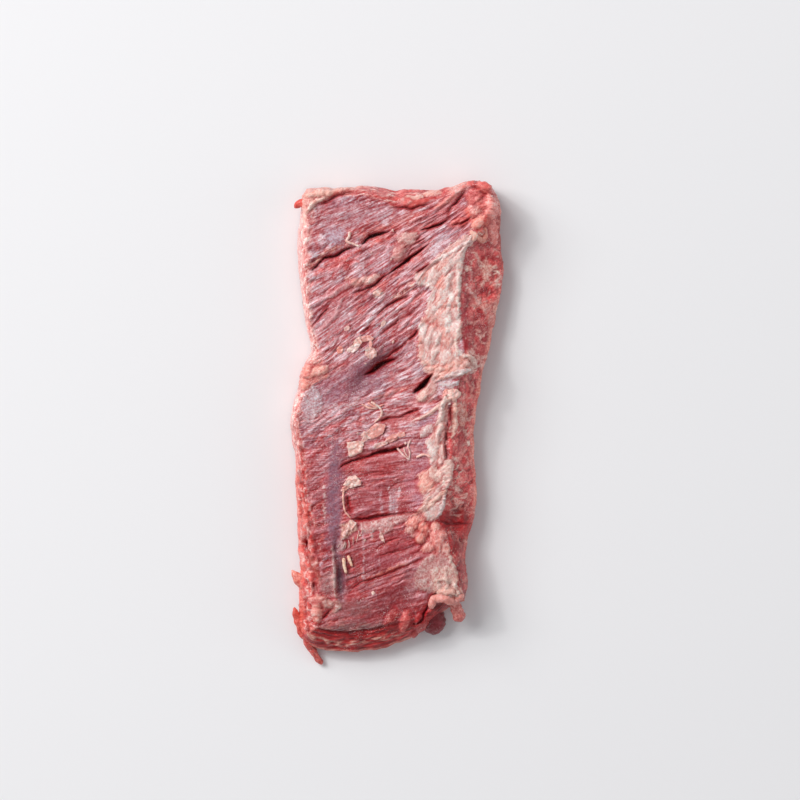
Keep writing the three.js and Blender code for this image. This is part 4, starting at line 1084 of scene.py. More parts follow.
def top_surface(x, y):
    """Relief and colour of the top end: a band of red streaks, and thick fat at the left."""
    across = top_edge(x) - y
    sway = 0.8 * waves(x / 5, y / 5, 231)
    run = waves(x / 9, across * 0.55 + sway, 230, 2)
    ridges = billow(across / 2 + sway, x / 8, 235)
    thick_fat = paint(plain(TOP_FAT, x), TOP_CREAM, 0.8 * ease(0, 0.4, waves(x / 4, y / 2, 236)))
    tint = layered(
        plain(TOP_RED, x),
        (TOP_CREAM, 0.85 * ease(0.05, 0.35, run)),
        (RED_CREASE_SHADE, 0.75 * (1 - ease(0, 0.35, ridges))),
        (WALL_STREAK, 0.6 * ease(0.05, 0.4, -run)),
        (thick_fat, ease(-19, -26, x + 3 * waves(x / 4, y / 4, 232))),
        (thick_fat, ease(24, 30, x + 2 * waves(x / 4, y / 4, 233)) * ease(40, 34, x)),
    )
    return 0.7 * run + 0.8 * (ridges - 0.5) + 0.4 * waves(x / 3, y / 3, 234), tint


def bottom_surface(x, y):
    """Relief and colour of the bottom end: a brown film over a red cut with a pale band, and a salmon rim."""
    rise = y - through(BOTTOM_EDGE, 0, x) + 1.1 * waves(x / 9, y / 7, 241)
    run = waves(x / 8, rise * 0.7, 240, 2)
    fibres = waves(x / 5, rise / 0.9, 245, 2)
    shreds = ease(-0.2, 0.35, waves(x / 5, rise / 2.2, 246, 3))
    band = 1 - ease(0.7, 2.2, np.abs(rise - 4.8 - 1.2 * waves(x / 11, 0 * x, 242)))
    film = ease(10.2, 11.2, rise) * ease(4, -10, x)
    brown = paint(plain(BOTTOM_FILM, x), BOTTOM_BAND, 0.35 * ease(0, 0.4, run))
    fold = (1 - ease(0.2, 0.9, np.abs(rise - 10.3))) * ease(8, -4, x)
    rim = 1 - ease(0.3, 1.5, y - bottom_edge(x) + 0.5 * waves(x / 4, 0 * x, 243))
    tint = layered(
        plain(BOTTOM_RED, x),
        (BOTTOM_WARM, 0.9 * ease(0, 0.35, run)),
        (BOTTOM_WARM, 0.5 * ease(0.1, 0.4, fibres)),
        (DARKEST_RED_SHADOW, 0.7 * ease(0.1, 0.4, -fibres)),
        (BOTTOM_BAND, 0.95 * band * shreds * ease(10, -2, x)),
        (brown, 0.9 * film),
        (DARK_RED_CREASE_SHADE, 0.8 * fold),
        (RIM * 0.75, 0.8 * rim),
    )
    relief = 0.5 * run + 0.4 * fibres + 0.7 * band * shreds - 0.8 * fold + 0.5 * film
    return relief + 0.4 * waves(x / 3, y / 2, 244), tint


def faces_of(x, y):
    """How far each point belongs to the left wall, the right face, the top end and the bottom end."""
    wall_share = (x - left_edge(y)) / (through(LEFT_FACE, 1, y) + WALL_OVERLAP)
    wall = 1 - ease(0.55, 1.25, wall_share + 0.55 * waves(x / 3, y / 4, 301))
    right = ease(-0.4, 0.5, x - through(FACE_LINE, 1, y) + 0.9 * waves(x / 3, y / 3, 302))
    top_share = (top_edge(x) - y) / through(TOP_FACE, 0, x)
    top = 1 - ease(0.75, 1.1, top_share + 0.35 * waves(x / 4, y / 3, 303))
    bottom_share = (y - bottom_edge(x)) / through(BOTTOM_FACE, 0, x)
    bottom = 1 - ease(0.8, 1.05, bottom_share + 0.15 * waves(x / 5, y / 4, 304))
    return wall, right, top, bottom


# Layers laid on the lean, in the order they cover each other
class Skin:
    """What each point of the surface carries: relief, depth of openings, colour, shares of fat and calm."""

    def __init__(self, x, y):
        self.relief, self.tint = lean(x, y)
        self.depth, self.fat, self.calm = np.zeros((3,) + x.shape)

    def cover(self, colour, share):
        self.tint = paint(self.tint, colour, share)


def lay_patches(skin, x, y):
    for k, (place, colour, strength, smooth) in enumerate(PATCHES):
        mask = 1 - ease(0.45, 1.25, inside_blob(place, x, y, 120 + 7 * k, 0.4))
        skin.cover(srgb(*colour), strength * mask * (0.75 + 0.5 * waves(x / 1.6, y / 1.6, 121 + k)))
        skin.calm = np.maximum(skin.calm, smooth * mask)
    skin.relief = skin.relief * (1 - skin.calm)


def lay_faces(skin, x, y):
    shares = faces_of(x, y)
    for share, surface in zip(shares, (wall_surface, right_surface, top_surface, bottom_surface)):
        relief, tint = surface(x, y)
        skin.relief = skin.relief * (1 - share) + relief * share
        skin.cover(tint, share)
        skin.calm = skin.calm * (1 - share)
    wall, right = shares[:2]
    skin.calm = np.maximum.reduce([skin.calm, 0.5 * right, 0.4 * wall])


def lay_lines(skin, x, y):
    wx, wy = x + 0.9 * wave(x / 2.2, y / 2.2, 340), y + 0.9 * wave(x / 2.2, y / 2.2, 341)
    for k, (path, half, colour, strength) in enumerate(LINES):
        away, _ = nearest_on(path, wx, wy)
        mask = (1 - ease(0.4, 1.3, away / half)) * ease(-0.4, 0.1, waves(x / 2.5, y / 2.5, 345 + k, 2))
        skin.cover(srgb(*colour), strength * mask)
        stands = 0.35 if colour[1] > GASH_GREEN else -0.6
        skin.relief = skin.relief + stands * min(half, 1) * mask


def lay_fat_sheets(skin, x, y):
    relief, tint = fat_lobes(x, y)
    for k, outline in enumerate(FAT_SHEETS):
        skin.fat = np.maximum(skin.fat, ease(-0.35, 0.45, inside_sheet(outline, x, y, 150 + 9 * k, 1.9)))
    skin.relief = skin.relief * (1 - skin.fat) + skin.fat * (FAT_LIFT * 0.7 + relief)
    skin.cover(tint, skin.fat)


def lay_films(skin, x, y):
    bend_x, bend_y = x + 0.9 * waves(x / 3, y / 3, 206), y + 0.9 * waves(x / 3, y / 3, 207)
    for k, (outline, colour, strength, grain) in enumerate(FILMS):
        own = srgb(*colour)
        mask = ease(-0.5, 0.6, inside_sheet(outline, x, y, 180 + 9 * k, 1.2))
        if grain > LOBED_GRAIN:
            gap, tone = cells(bend_x / 3.1, bend_y / 3.5, 200 + k)
            lumps = ease(0, 0.5, gap) ** 0.7 * (0.6 + 0.4 * tone)
        else:
            lumps = billow(x / 2.8 + 0.2 * y, y / 3.6, 200 + k)
        shade = paint(plain(own, x), FAT_RIDGE, 0.5 * ease(-0.1, 0.5, waves(x / 3, y / 3, 190 + k)))
        shade = paint(shade, own * FILM_CREASE_SHARE, 0.75 * (1 - ease(0, 0.3, lumps)))
        skin.cover(shade, strength * mask * (0.85 + 0.4 * waves(x / 1.5, y / 1.5, 195 + k)))
        bulge = 0.5 + grain * (lumps - 0.4) + 0.3 * waves(x / 3, y / 3, 205 + k)
        skin.relief = skin.relief * (1 - 0.6 * mask) + mask * bulge
        skin.fat = np.maximum(skin.fat, 0.8 * mask * strength)


def lay_ridges(skin, x, y):
    for k, (path, half, tall, colour) in enumerate(RIDGES):
        own = srgb(*colour)
        shift_x = 1.3 * waves(x / 4, y / 4, 350 + k, 3, 0.6)
        shift_y = 1.3 * waves(x / 4, y / 4, 380 + k, 3, 0.6)
        away, along = nearest_on(path, x + shift_x, y + shift_y)
        off = away / (half * (0.45 + 0.55 * np.sin(np.pi * np.clip(along, 0.06, 0.94))))
        bulge = 1 - ease(0.15, 1.25, off)
        knots = waves(x / 2.4, y / 2.4, 410 + k, 2)
        shade = paint(plain(own, x), own * RIDGE_SHADE_SHARE, 0.8 * ease(0, 0.4, -knots))
        shade = paint(shade, FAT_RIDGE, 0.45 * ease(0, 0.5, knots) * ease(0.4, 1, bulge))
        # Painted shade along the foot of the ridge
        foot = (1 - ease(0.9, 1.9, off)) * ease(0.7, 1.1, off)
        skin.cover(FAT_CREASE * RIDGE_FOOT_SHARE, 0.55 * foot)
        skin.cover(shade, 0.92 * ease(0.08, 0.4, bulge))
        skin.relief = skin.relief + tall * bulge * (0.85 + 0.5 * knots)
        skin.fat = np.maximum(skin.fat, ease(0.1, 0.4, bulge))


def lay_mounds(skin, x, y):
    for k, (place, tall, colour) in enumerate(MOUNDS):
        own = srgb(*colour)
        fatty = colour[1] > FATTY_GREEN
        off = inside_blob(place, x, y, 440 + 7 * k, 0.55)
        dome = np.clip(1 - np.clip(off, 0, 1) ** 3, 0, 1) ** 0.8
        grit = waves(x / 1.5, y / 1.5, 445 + k, 2)
        folds = billow(x / 3 + 0.3 * waves(x / 2, y / 2, 446), y / 2.6, 447 + k)
        shade = layered(
            plain(own, x),
            (FAT_RIDGE if fatty else RIM, 0.45 * ease(0.1, 0.5, grit)),
            (own * MOUND_SHADE_SHARE, 0.5 * ease(0.1, 0.5, -grit)),
            (own * MOUND_CREASE_SHARE, 0.5 * (1 - ease(0, 0.24, folds))),
        )
        # Painted shade round the foot of the mound
        foot = (1 - ease(1.05, 1.5, off)) * ease(0.8, 1, off)
        skin.cover(RED_CREASE_SHADE, 0.6 * foot)
        skin.cover(shade, 0.95 * (1 - ease(0.85, 1.02, off)))
        swell = tall * dome * (0.62 + 0.24 * folds + 0.15 * grit)
        skin.relief = skin.relief * (1 - 0.4 * ease(0, 0.5, dome)) + swell - 0.3 * foot
        skin.fat = np.maximum(skin.fat, ease(0, 0.4, dome) * (0.9 if fatty else 0.2))


def crease_depths(x, y):
    """Depth of the openings at each point, how near their middle it is, and how much painted shadow lies
    there.
    """
    depth, roll_in, inside, dark = np.zeros((4,) + x.shape)
    wx, wy = x + 0.6 * waves(x / 2.5, y / 2.5, 311), y + 0.6 * waves(x / 2.5, y / 2.5, 312)
    for path, half, deep in CREASES:
        (left, low), (right, high) = np.min(path, axis=0) - NEAR, np.max(path, axis=0) + NEAR
        near = (x > left) & (x < right) & (y > low) & (y < high)
        away, along = nearest_on(path, wx[near], wy[near])
        swell = 0.3 + 0.7 * np.sin(np.pi * np.clip(along, 0.02, 0.98)) ** 0.8
        reach = np.maximum(0.66 * half * swell, 0.42)
        here = 1 - ease(0.1, 1, away / reach)
        depth[near] = np.maximum(depth[near], 0.7 * deep * swell * here)
        besides = 1 - ease(0, 3 + 0.6 * deep, away)
        roll_in[near] = np.maximum(roll_in[near], min(1.5, deep / 3) * swell * besides)
        near_edge = 1 - ease(0.5, 1, away / (reach + 0.9))
        inside[near] = np.maximum(inside[near], near_edge * ease(0.2, 0.7, swell))
        shadow = here * min(1, 0.12 + (deep * swell / 7).max()) * ease(0, 0.5, swell)
        dark[near] = np.maximum(dark[near], shadow)
    return depth + roll_in, inside, dark


def open_creases(skin, x, y):
    skin.depth, inside, dark = crease_depths(x, y)
    for k, (place, deep, colour, strength) in enumerate(HOLLOWS):
        mask = 1 - ease(0.1, 1.25, inside_blob(place, x, y, 330 + 7 * k, 0.2))
        skin.depth = skin.depth + deep * mask
        skin.cover(srgb(*colour), strength * mask * (0.85 + 0.4 * waves(x / 2, y / 2, 335 + k)))
    # Painted shade inside each opening, and painted shadow, darkest red, in its middle
    skin.cover(RED_CREASE_SHADE, 0.75 * inside)
    skin.cover(DARKEST_RED_SHADOW, dark)


LAYERS = (
    lay_patches, lay_faces, lay_lines, lay_fat_sheets, lay_films, lay_ridges, lay_mounds, open_creases,
)


def dressed_skin(x, y):
    skin = Skin(x, y)
    for lay in LAYERS:
        lay(skin, x, y)
    return skin


# Points of the closed body
def shaped_surface(x, y, skin):
    """Points of the top and the sides down to the widest outline, with relief along each point's normal."""
    z, side = base_height(x, y)
    surface = np.stack([x, y, z], -1)
    normal = np.cross(np.gradient(surface, axis=1), np.gradient(surface, axis=0))
    normal *= np.sign(normal[..., 2:3].mean())
    normal /= np.linalg.norm(normal, axis=-1, keepdims=True)
    border = border_distance(x, y)
    held = np.where(border > 1e-6, 0.3 + 0.7 * ease(0, 0.8, border), 0)
    surface = surface + normal * (skin.relief * side**0.3 * held)[..., None]
    surface[..., 2] -= skin.depth * ease(0.1, 0.8, side)
    surface[..., 2] = np.maximum(surface[..., 2], RIM_FLOOR * rim_height(x, y))
    return surface


def drawn_in(x, y, draw):
    """X and Y drawn in towards the middle by half of draw at each side."""
    return ORIGIN[0] + (x - ORIGIN[0]) * (1 - draw / WIDTH), ORIGIN[1] + (y - ORIGIN[1]) * (1 - draw / LENGTH)


def side_rings(x, y, tint, fat):
    """Points, colours and fat of the rings that curve in under the steak from its widest outline, whose own
    x, y, tint and fat are given."""
    along_x, along_y = np.roll(x, -1) - np.roll(x, 1), np.roll(y, -1) - np.roll(y, 1)
    out_x, out_y = np.stack([along_y, -along_x]) / np.hypot(along_x, along_y)
    run = np.cumsum(np.hypot(along_x, along_y)) / 2
    points, tints = [], []
    for k in range(1, SIDE_RINGS + 1):
        turn = 0.5 * math.pi * k / SIDE_RINGS
        height = rim_height(x, y) * (1 - math.sin(turn))
        bulges = waves(run / 5, height / 3, 410, 3)
        strings = billow(height / 2.4 + 0.5 * waves(run / 4, height / 4, 416), run / 5, 411)
        push = math.sin(2 * turn) * (0.9 * bulges + 0.7 * (strings - 0.5))
        px, py = drawn_in(x, y, 2 * RIM_TUCK * (1 - math.cos(turn)))
        points.append(np.stack([px + push * out_x, py + push * out_y, height], -1))
        fatty = ease(-0.1, 0.3, waves(run / 8, height / 5, 412))
        veins = 1 - ease(0.03, 0.12, np.abs(waves(run / 7, height / 3.4, 413, 2)))
        meat = layered(
            plain(SIDE_RED, x),
            (SIDE_DEEP, ease(-0.1, 0.3, bulges)),
            (DARK_RED_CREASE_SHADE, 0.7 * (1 - ease(0, 0.3, strings))),
            (SIDE_FAT, 0.5 * ease(0.6, 1, strings) * fatty),
            (SIDE_FAT, 0.8 * veins * ease(-0.1, 0.2, waves(run / 14, height / 9, 414))),
        )
        reach = ease(0.02, 0.4, k / SIDE_RINGS + 0.16 * waves(run / 6, height / 4, 415, 2))
        tints.append(paint(tint, meat, 0.92 * reach))
    return np.concatenate(points), np.concatenate(tints), np.tile(fat, SIDE_RINGS)


def underside(x, y, border):
    """Points, colours and fat of the underside: the same muscle, with broad patches of fat."""
    ux, uy = drawn_in(x, y, 2 * RIM_TUCK)
    uz = 0.5 * ease(0, 6, border) * ease(0.05, 0.6, waves(ux / 9, uy / 13, 401, 2))
    fat = ease(0.12, 0.3, waves(ux / 15, uy / 28, 400, 3))
    _, tint = lean(ux, uy + 9)
    _, fat_tint = fat_lobes(ux + 7, uy)
    tint = paint(tint, UNDER_RED, np.full(x.shape, 0.35))
    return np.stack([ux, uy, uz], -1), paint(tint, fat_tint, fat), fat


# Meshes and their layers
def mesh_piece(name, points, faces, material):
    """A smooth-shaded piece, from points in millimetres on the outline's sheet."""
    mesh = bpy.data.meshes.new(name)
    places = (np.asarray(points) - [*ORIGIN, 0]) * MM
    mesh.from_pydata(places.tolist(), [], faces)
    mesh.update()
    mesh.polygons.foreach_set("use_smooth", [True] * len(mesh.polygons))
    mesh.materials.append(material)
    piece = bpy.data.objects.new(name, mesh)
    bpy.context.scene.collection.objects.link(piece)
    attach(piece, "root")
    return piece


def add_layers(mesh, tint, fat, calm, grain):
    """What the materials read at each point: its colour, its shares of fat and calm, and its place along the
    fibres."""
    rgba = np.column_stack([tint, np.ones(len(tint))])
    layers = (
        ("tint", "FLOAT_COLOR", "color", rgba),
        ("fat", "FLOAT", "value", fat),
        ("calm", "FLOAT", "value", calm),
        ("grain", "FLOAT_VECTOR", "vector", grain),
    )
    for name, kind, key, values in layers:
        mesh.attributes.new(name, kind, "POINT").data.foreach_set(key, np.ravel(values))


# Materials
def node(tree, kind, inputs, **settings):
    """A node with its settings, and its inputs linked to other nodes' outputs or set to values."""
    made = tree.nodes.new(kind)
    for key, value in settings.items():
        setattr(made, key, value)
    for key, value in inputs.items():
        if isinstance(value, bpy.types.NodeSocket):
            tree.links.new(value, made.inputs[key])
        else:
            made.inputs[key].default_value = value
    return made


def attribute(tree, name, output="Fac"):
    return node(tree, "ShaderNodeAttribute", {}, attribute_name=name).outputs[output]


def ranged(tree, value, low, high, to_low, to_high):
    """The value moved from one range to another, and kept within it."""
    ends = {"From Min": low, "From Max": high, "To Min": to_low, "To Max": to_high}
    return node(tree, "ShaderNodeMapRange", {"Value": value, **ends}).outputs["Result"]


def noise(tree, place, scale, detail):
    grain = {"Vector": place, "Scale": scale, "Detail": detail, "Roughness": 0.65}
    return node(tree, "ShaderNodeTexNoise", grain).outputs["Fac"]


def blend(tree, share, first, second):
    return node(tree, "ShaderNodeMix", {"Factor": share, "A": first, "B": second}).outputs["Result"]


def colour_blend(tree, share, first, second):
    return node(tree, "ShaderNodeMix", {"Factor": share, 6: first, 7: second}, data_type="RGBA").outputs[2]


def bumped(tree, height, distance, strength):
    """The surface's direction, bumped by up to a distance in millimetres."""
    bump = {"Height": height, "Strength": strength, "Distance": distance * MM}
    return node(tree, "ShaderNodeBump", bump).outputs["Normal"]


def own_colour(tree, detail, dark, light):
    """The points' own colour, darker where the detail is low and lighter where it is high."""
    own = attribute(tree, "tint", "Color")
    low, high = [
        node(tree, "ShaderNodeVectorMath", {0: own, 1: factor}, operation="MULTIPLY").outputs["Vector"]
        for factor in (dark, light)
    ]
    return colour_blend(tree, detail, low, high)


def moist_material(name, coat_roughness, scatter, scatter_radius):
    """A moist material that light reaches some way into, its shader, and the place its patterns follow."""
    material = bpy.data.materials.new(name)
    material.use_nodes = True
    tree = material.node_tree
    shader = tree.nodes["Principled BSDF"]
    shader.inputs["Specular IOR Level"].default_value = 0.17
    shader.inputs["Coat Weight"].default_value = 0.45
    shader.inputs["Coat Roughness"].default_value = coat_roughness
    shader.inputs["Subsurface Weight"].default_value = scatter
    shader.inputs["Subsurface Radius"].default_value = (1.0, 0.35, 0.25)
    shader.inputs["Subsurface Scale"].default_value = scatter_radius * MM
    return material, shader, node(tree, "ShaderNodeTexCoord", {}).outputs["Object"]


def meat_material(name):
    """Moist meat: fibres and grains finer than the mesh, calmer on fat and film, with pale flecks and painted
    glints, and glints of a rippled coat.
    """
    material, shader, place = moist_material(name, coat_roughness=0.1, scatter=0.1, scatter_radius=0.9)
    tree = material.node_tree
    fat_share, calm = attribute(tree, "fat"), attribute(tree, "calm")
    fibres = noise(tree, attribute(tree, "grain", "Vector"), scale=1.0, detail=3.0)
    grains = noise(tree, place, scale=1050.0, detail=2.0)
    detail = blend(tree, ranged(tree, calm, 0, 1, 0.3, 0.95), fibres, grains)
    spread = blend(tree, ranged(tree, calm, 0, 1, 0.0, 0.7), ranged(tree, detail, 0.4, 0.6, 0, 1), 0.5)
    colour = own_colour(tree, spread, (0.67, 0.21, 0.23), (1.18, 1.78, 1.78))
    clusters = ranged(tree, noise(tree, place, scale=70.0, detail=2.0), 0.48, 0.6, 0, 0.5)
    dots = ranged(tree, noise(tree, place, scale=1700.0, detail=1.0), 0.6, 0.68, 0, 1)
    flecks_and_glints = node(tree, "ShaderNodeMath", {0: dots, 1: clusters}, operation="MULTIPLY").outputs[0]
    tree.links.new(colour_blend(tree, flecks_and_glints, colour, FINE_FLECK_AND_GLINT), shader.inputs["Base Color"])
    tree.links.new(bumped(tree, detail, distance=0.45, strength=0.75), shader.inputs["Normal"])
    ripples = noise(tree, place, scale=1300.0, detail=2.0)
    tree.links.new(bumped(tree, ripples, distance=0.4, strength=0.9), shader.inputs["Coat Normal"])
    tree.links.new(ranged(tree, fat_share, 0, 1, 0.36, 0.48), shader.inputs["Roughness"])
    return material


def fat_material(name):
    """Soft raw fat: waxy grains under a thin wet film, with light that reaches deeper into it."""
    material, shader, place = moist_material(name, coat_roughness=0.2, scatter=0.25, scatter_radius=1.5)
    tree = material.node_tree
    grains = noise(tree, place, scale=900.0, detail=4.0)
    shade = ranged(tree, grains, 0.38, 0.62, 0, 1)
    tree.links.new(own_colour(tree, shade, (0.88, 0.72, 0.7), (1.05, 1.1, 1.12)), shader.inputs["Base Color"])
    tree.links.new(bumped(tree, grains, distance=0.35, strength=0.7), shader.inputs["Normal"])
    tree.links.new(ranged(tree, grains, 0.3, 0.7, 0.52, 0.38), shader.inputs["Roughness"])
    return material


raw_meat = meat_material("raw_meat")
soft_fat = fat_material("soft_fat")


# The closed body as a piece
def steak_body():
    """The closed body, and its points and faces as a ground for the pieces that lie on it."""
    x, y = plan_grid()
    skin = dressed_skin(x, y)
    faces, places, loop, inner = closed_faces(*x.shape, SIDE_RINGS)
    row, column = loop.T
    rim = (row, column)
    side_points, side_tint, side_fat = side_rings(x[rim], y[rim], skin.tint[rim], skin.fat[rim])
    low_points, low_tint, low_fat = underside(x[inner], y[inner], border_distance(x, y)[inner])
    points = np.concatenate([shaped_surface(x, y, skin).reshape(-1, 3), side_points, low_points])
    tint = np.concatenate([skin.tint.reshape(-1, 3), side_tint, low_tint])
    fat = np.concatenate([skin.fat.ravel(), side_fat, low_fat])
    calm = np.concatenate([np.maximum(skin.fat, skin.calm).ravel(), np.maximum(side_fat, SIDE_CALM), low_fat])
    across, along, up = points.T
    grain = np.stack([across, grain_line(across, along), up], -1) * FIBRES
    piece = mesh_piece("steak_body", points, faces, raw_meat)
    piece.data.uv_layers.new(name="OFBake").data.foreach_set("uv", np.ravel(places))
    add_layers(piece.data, tint, fat, calm, grain)
    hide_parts("steak")
    return BVHTree.FromPolygons(points.tolist(), faces)


ground = steak_body()


# Pieces that lie on the body
def ground_height(x, y):
    """Height of the meat under each point, or of the table beside it."""
    heights = np.zeros(np.shape(x))
    for k, (px, py) in enumerate(zip(np.ravel(x), np.ravel(y))):
        hit = ground.ray_cast((float(px), float(py), ABOVE_ALL), (0.0, 0.0, -1.0))[0]
        heights.flat[k] = hit[2] if hit else 0
    return heights


def ring_faces(rings, sides):
    """Faces of a closed form: a first point, rings of points and a last point."""
    faces = []
    last = 1 + (rings - 1) * sides
    for k in range(sides):
        n = (k + 1) % sides
        faces.append((0, 1 + k, 1 + n))
        for a in range(1, last, sides):
            faces.append((a + k, a + sides + k, a + sides + n, a + n))
        faces.append((last + k, last + sides, last + n))
    return faces


def torn_outline(seed, angle):
    """Reach at each angle of an uneven polygon with slightly ragged sides."""
    shape = np.random.default_rng(900 + seed)
    corners = 6
    at = 2 * math.pi * (np.arange(corners) + shape.uniform(-0.36, 0.36, corners)) / corners
    reach = shape.uniform(0.72, 1.35, corners)
    px, py = reach * np.cos(at), reach * np.sin(at)
    found = np.ones(len(angle))
    for k in range(corners):
        n = (k + 1) % corners
        between = (angle - at[k]) % (2 * math.pi) <= (at[n] - at[k]) % (2 * math.pi)
        ex, ey = px[n] - px[k], py[n] - py[k]
        across = np.cos(angle) * ey - np.sin(angle) * ex
        found = np.where(between, (px[k] * ey - py[k] * ex) / across, found)
    return found + 0.17 * waves(3 * np.cos(angle) + seed, 3 * np.sin(angle), 500 + seed, 2, 0.7)


def flake(place, thick, lift, colour, seed, sides=36):
    """A torn, crumpled bit lying on the meat, whose upper face and hidden underside share a ragged rim."""
    cx, cy, rx, ry, turn = place
    angle = 2 * math.pi * np.arange(sides) / sides
    share = FLAKE_RINGS[:, None]
    reach = share * torn_outline(seed, angle)
    u, w = reach * np.cos(angle), reach * np.sin(angle)
    px, py = turned(rx * u, ry * w, turn)
    px, py = px + cx, py + cy
    lie = ground_height(px, py)
    lie = 0.6 * lie + 0.4 * np.median(lie)
    raised = lift * np.clip(0.5 * u + 0.4 + 0.8 * waves(u, w, 510 + seed), 0, 1.2) * share
    crown = thick * np.clip(1 - share**6, 0, 1)
    crumple = (billow(px / 3, py / 3, 520 + seed) - 0.5) * (1 - 0.5 * share**4)
    upper = 0.5 * crown + 0.9 * thick * crumple
    is_upper = np.arange(len(FLAKE_RINGS))[:, None] < UPPER_RINGS
    pz = lie + 0.2 + raised + np.where(is_upper, upper, -0.25 - 0.4 * crown)
    rings = np.stack([px, py, pz], -1).reshape(-1, 3)
    points = np.concatenate([[(cx, cy, pz[0].mean())], rings, [(cx, cy, pz[-1].mean())]])
    tone = waves(points[:, 0] / 1.4, points[:, 1] / 1.4, 540 + seed, 3)
    fold = billow(points[:, 0] / 3, points[:, 1] / 3, 520 + seed)
    tint = layered(
        plain(srgb(*colour), tone),
        (FLAKE_SHADE, 0.7 * ease(0, 0.5, -tone)),
        (FLAKE_SHADE, 0.5 * (1 - ease(0, 0.25, fold))),
        (FLAKE_LIGHT, 0.6 * ease(0.1, 0.45, tone)),
    )
    return points, ring_faces(len(FLAKE_RINGS), sides), tint


def smooth_path(path, step):
    """Points about a step apart on a smooth curve through a path, and their shares of its length."""
    path = np.array(path, float)
    reach = np.concatenate([[0], np.cumsum(np.linalg.norm(np.diff(path[:, :2], axis=0), axis=1))])
    share = np.linspace(0, 1, max(6, int(reach[-1] / step)))
    curve = [through(np.stack([reach, values], -1), 0, share * reach[-1]) for values in path.T]
    return np.stack(curve, -1), share


def spread_over(values, share):
    return np.interp(share, np.linspace(0, 1, len(values)), values)


def on_meat(curve, share, thick, stand):
    """A path in plan laid on the meat, raised by a share of its half thickness."""
    lie = ground_height(curve[:, 0], curve[:, 1])
    lie = np.convolve(np.pad(lie, 2, mode="edge"), np.ones(5) / 5, mode="valid")
    return np.column_stack([curve, lie + stand * spread_over(thick, share)])


def unit(vectors):
    return vectors / np.linalg.norm(vectors, axis=1, keepdims=True)


def roll(path, wide, thick, tints, seed, stand, rough, sides, step=0.6):
    """A strand, fold or scrap along a path: uneven oval rings that close over blunt, rounded ends."""
    curve, share = smooth_path(path, step)
    if curve.shape[1] == 2:
        curve = on_meat(curve, share, thick, stand)
    ahead = unit(np.gradient(curve, axis=0))
    across = unit(np.cross(ahead, [0, 0, 1.0]))
    above = np.cross(across, ahead)
    reach = np.linalg.norm(np.diff(curve, axis=0), axis=1).sum()
    tip = np.minimum(share, 1 - share) * reach / max(np.mean(wide), 0.3)
    close = np.clip(1 - (1 - np.clip(tip, 0.05, 1)) ** 2, 0, 1) ** 0.5
    angle = 2 * math.pi * np.arange(sides) / sides
    run = share[:, None] * reach
    bend = waves(run / 2.2 + seed, np.cos(angle) * 1.3 + seed, 600 + seed, 2)
    cords = waves(run / 6 + seed, angle * 1.6, 610 + seed, 2) * np.sin(angle / 2) ** 2
    swell = (1 + rough * bend + 0.6 * rough * cords) * close[:, None]
    half_wide = spread_over(wide, share)[:, None] * swell
    half_thick = spread_over(thick, share)[:, None] * swell
    rings = (
        curve[:, None]
        + across[:, None] * (half_wide * np.cos(angle))[..., None]
        + above[:, None] * (half_thick * np.sin(angle))[..., None]
    )
    points = np.concatenate([curve[:1], rings.reshape(-1, 3), curve[-1:]])
    points[:, 2] = np.maximum(points[:, 2], OFF_TABLE)
    along = np.concatenate([[0], np.repeat(share, sides), [1]])
    tint = paint(plain(srgb(*tints[0]), along), srgb(*tints[-1]), along)
    tone = waves(points[:, 0] / 1.8, points[:, 1] / 1.8, 620 + seed, 3)
    tint = paint(tint, tint * ROLL_SHADE_SHARE, 0.7 * ease(0, 0.45, -tone))
    tint = paint(tint, np.minimum(1.35 * tint + 0.03, 1), 0.8 * ease(0.1, 0.5, tone))
    return points, ring_faces(len(share), sides), tint


def joined_piece(name, bits, material, fat_share=1, calm_share=1):
    """One piece of many bits, each with its points, faces and colours."""
    points = np.concatenate([bit[0] for bit in bits])
    tint = np.concatenate([bit[2] for bit in bits])
    faces, start = [], 0
    for bit_points, bit_faces, _ in bits:
        faces += [tuple(start + corner for corner in face) for face in bit_faces]
        start += len(bit_points)
    piece = mesh_piece(name, points, faces, material)
    fat, calm = np.full(len(points), fat_share), np.full(len(points), calm_share)
    add_layers(piece.data, tint, fat, calm, points * BIT_GRAIN)


def fat_crumbs(random):
    """Crumbs of fat scattered round the larger bits, where the meat is high enough to hold them."""
    crumbs = []
    for k in range(CRUMBS):
        cx, cy, spread = CRUMB_SPREAD[k % len(CRUMB_SPREAD)]
        px, py = random.normal((cx, cy), spread * 0.5)
        size = random.uniform(0.35, 0.85)
        if ground_height(px, py) < CRUMB_FLOOR:
            continue
        place = (px, py, size, size * random.uniform(0.5, 0.9), random.uniform(0, 180))
        crumbs.append(flake(place, size * 0.8, 0.1, CREAM, 60 + k, 12))
    return crumbs


def hair(share, random, seed):
    """A short thread that leaves the torn film at a share of the way between its two ends."""
    root = np.array(HAIR_ROOTS[0]) * (1 - share) + np.array(HAIR_ROOTS[1]) * share + random.normal(0, 0.5, 2)
    tip = root + (random.uniform(-1.6, 0.4), random.uniform(-4.5, -2))
    path = [root, 0.5 * (root + tip) + 0.3, tip]
    thin = (HAIR_HALF,) * 3
    return roll(path, thin, thin, [PALE], seed, stand=2, rough=0.3, sides=6, step=0.5)


random = np.random.default_rng(7)
joined_piece("fat_flakes", [flake(*row, seed) for seed, row in enumerate(FLAKES)], soft_fat)
joined_piece("fat_crumbs", fat_crumbs(random), soft_fat)

strands = []
for k, (path, half, off, colour) in enumerate(STRANDS):
    wide, thick = (half, half, half * 0.7), (half * 0.8,) * 3
    strands.append(roll(path, wide, thick, [colour], k, stand=0.5 + off, rough=0.3, sides=8, step=0.4))
strands += [hair(k / (HAIRS - 1), random, 80 + k) for k in range(HAIRS)]
joined_piece("sinew_strands", strands, soft_fat)

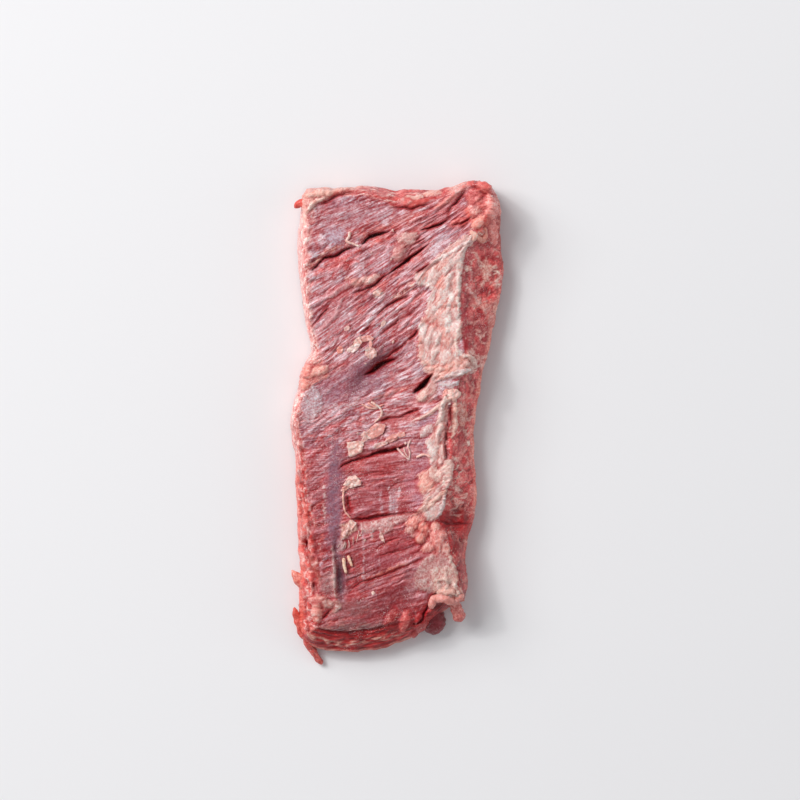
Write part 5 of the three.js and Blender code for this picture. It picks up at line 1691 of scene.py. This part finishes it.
folds = [
    roll(path, wide, thick, [colour], 30 + k, stand=0.15, rough=0.5, sides=18)
    for k, (path, wide, thick, colour) in enumerate(FOLDS)
]
joined_piece("fat_folds", folds, soft_fat)

tags = [
    roll(path, wide, thick, (root, tip), 50 + k, stand=0, rough=rough, sides=24)
    for k, (path, wide, thick, rough, root, tip) in enumerate(TAGS)
]
joined_piece("meat_tags", tags, raw_meat, fat_share=0.2, calm_share=0.6)


# Table, light and camera
def stage_table():
    """A plain pale table, which isn't part of the steak."""
    material = bpy.data.materials.new("table")
    material.use_nodes = True
    shader = material.node_tree.nodes["Principled BSDF"]
    shader.inputs["Base Color"].default_value = (*srgb(*TABLE_COLOUR), 1)
    shader.inputs["Roughness"].default_value = TABLE_ROUGHNESS
    square = ((-1, -1), (1, -1), (1, 1), (-1, 1))
    corners = [(x * TABLE_REACH, y * TABLE_REACH, TABLE_LEVEL) for x, y in square]
    mesh = bpy.data.meshes.new("table")
    mesh.from_pydata(corners, [], [(0, 1, 2, 3)])
    mesh.materials.append(material)
    table = bpy.data.objects.new("table", mesh)
    bpy.context.scene.collection.objects.link(table)


def area_light(name, place, size, power):
    """A square light that faces the middle of the table."""
    data = bpy.data.lights.new(name, "AREA")
    data.shape = "SQUARE"
    data.size = size
    data.energy = power
    light = bpy.data.objects.new(name, data)
    light.location = place
    x, y, z = place
    light.rotation_euler = (math.acos(z / math.hypot(x, y, z)), 0, math.atan2(-y, -x) - math.pi / 2)
    bpy.context.scene.collection.objects.link(light)


def overhead_camera():
    data = bpy.data.cameras.new("camera")
    data.sensor_width = SENSOR
    data.lens = SENSOR * CAMERA_HEIGHT / FIELD_WIDTH
    data.clip_end = VIEW_DEPTH
    camera = bpy.data.objects.new("camera", data)
    aim_x, aim_y = (np.array(CAMERA_AIM) - ORIGIN) * MM
    camera.location = (aim_x, aim_y, CAMERA_HEIGHT)
    bpy.context.scene.collection.objects.link(camera)
    bpy.context.scene.camera = camera


def room_light():
    world = bpy.data.worlds.new("room")
    world.use_nodes = True
    background = world.node_tree.nodes["Background"]
    background.inputs["Color"].default_value = ROOM_COLOUR
    background.inputs["Strength"].default_value = ROOM_LIGHT
    bpy.context.scene.world = world


stage_table()
room_light()
for light in LIGHTS:
    area_light(*light)
overhead_camera()
bpy.context.scene.view_settings.view_transform = "Standard"
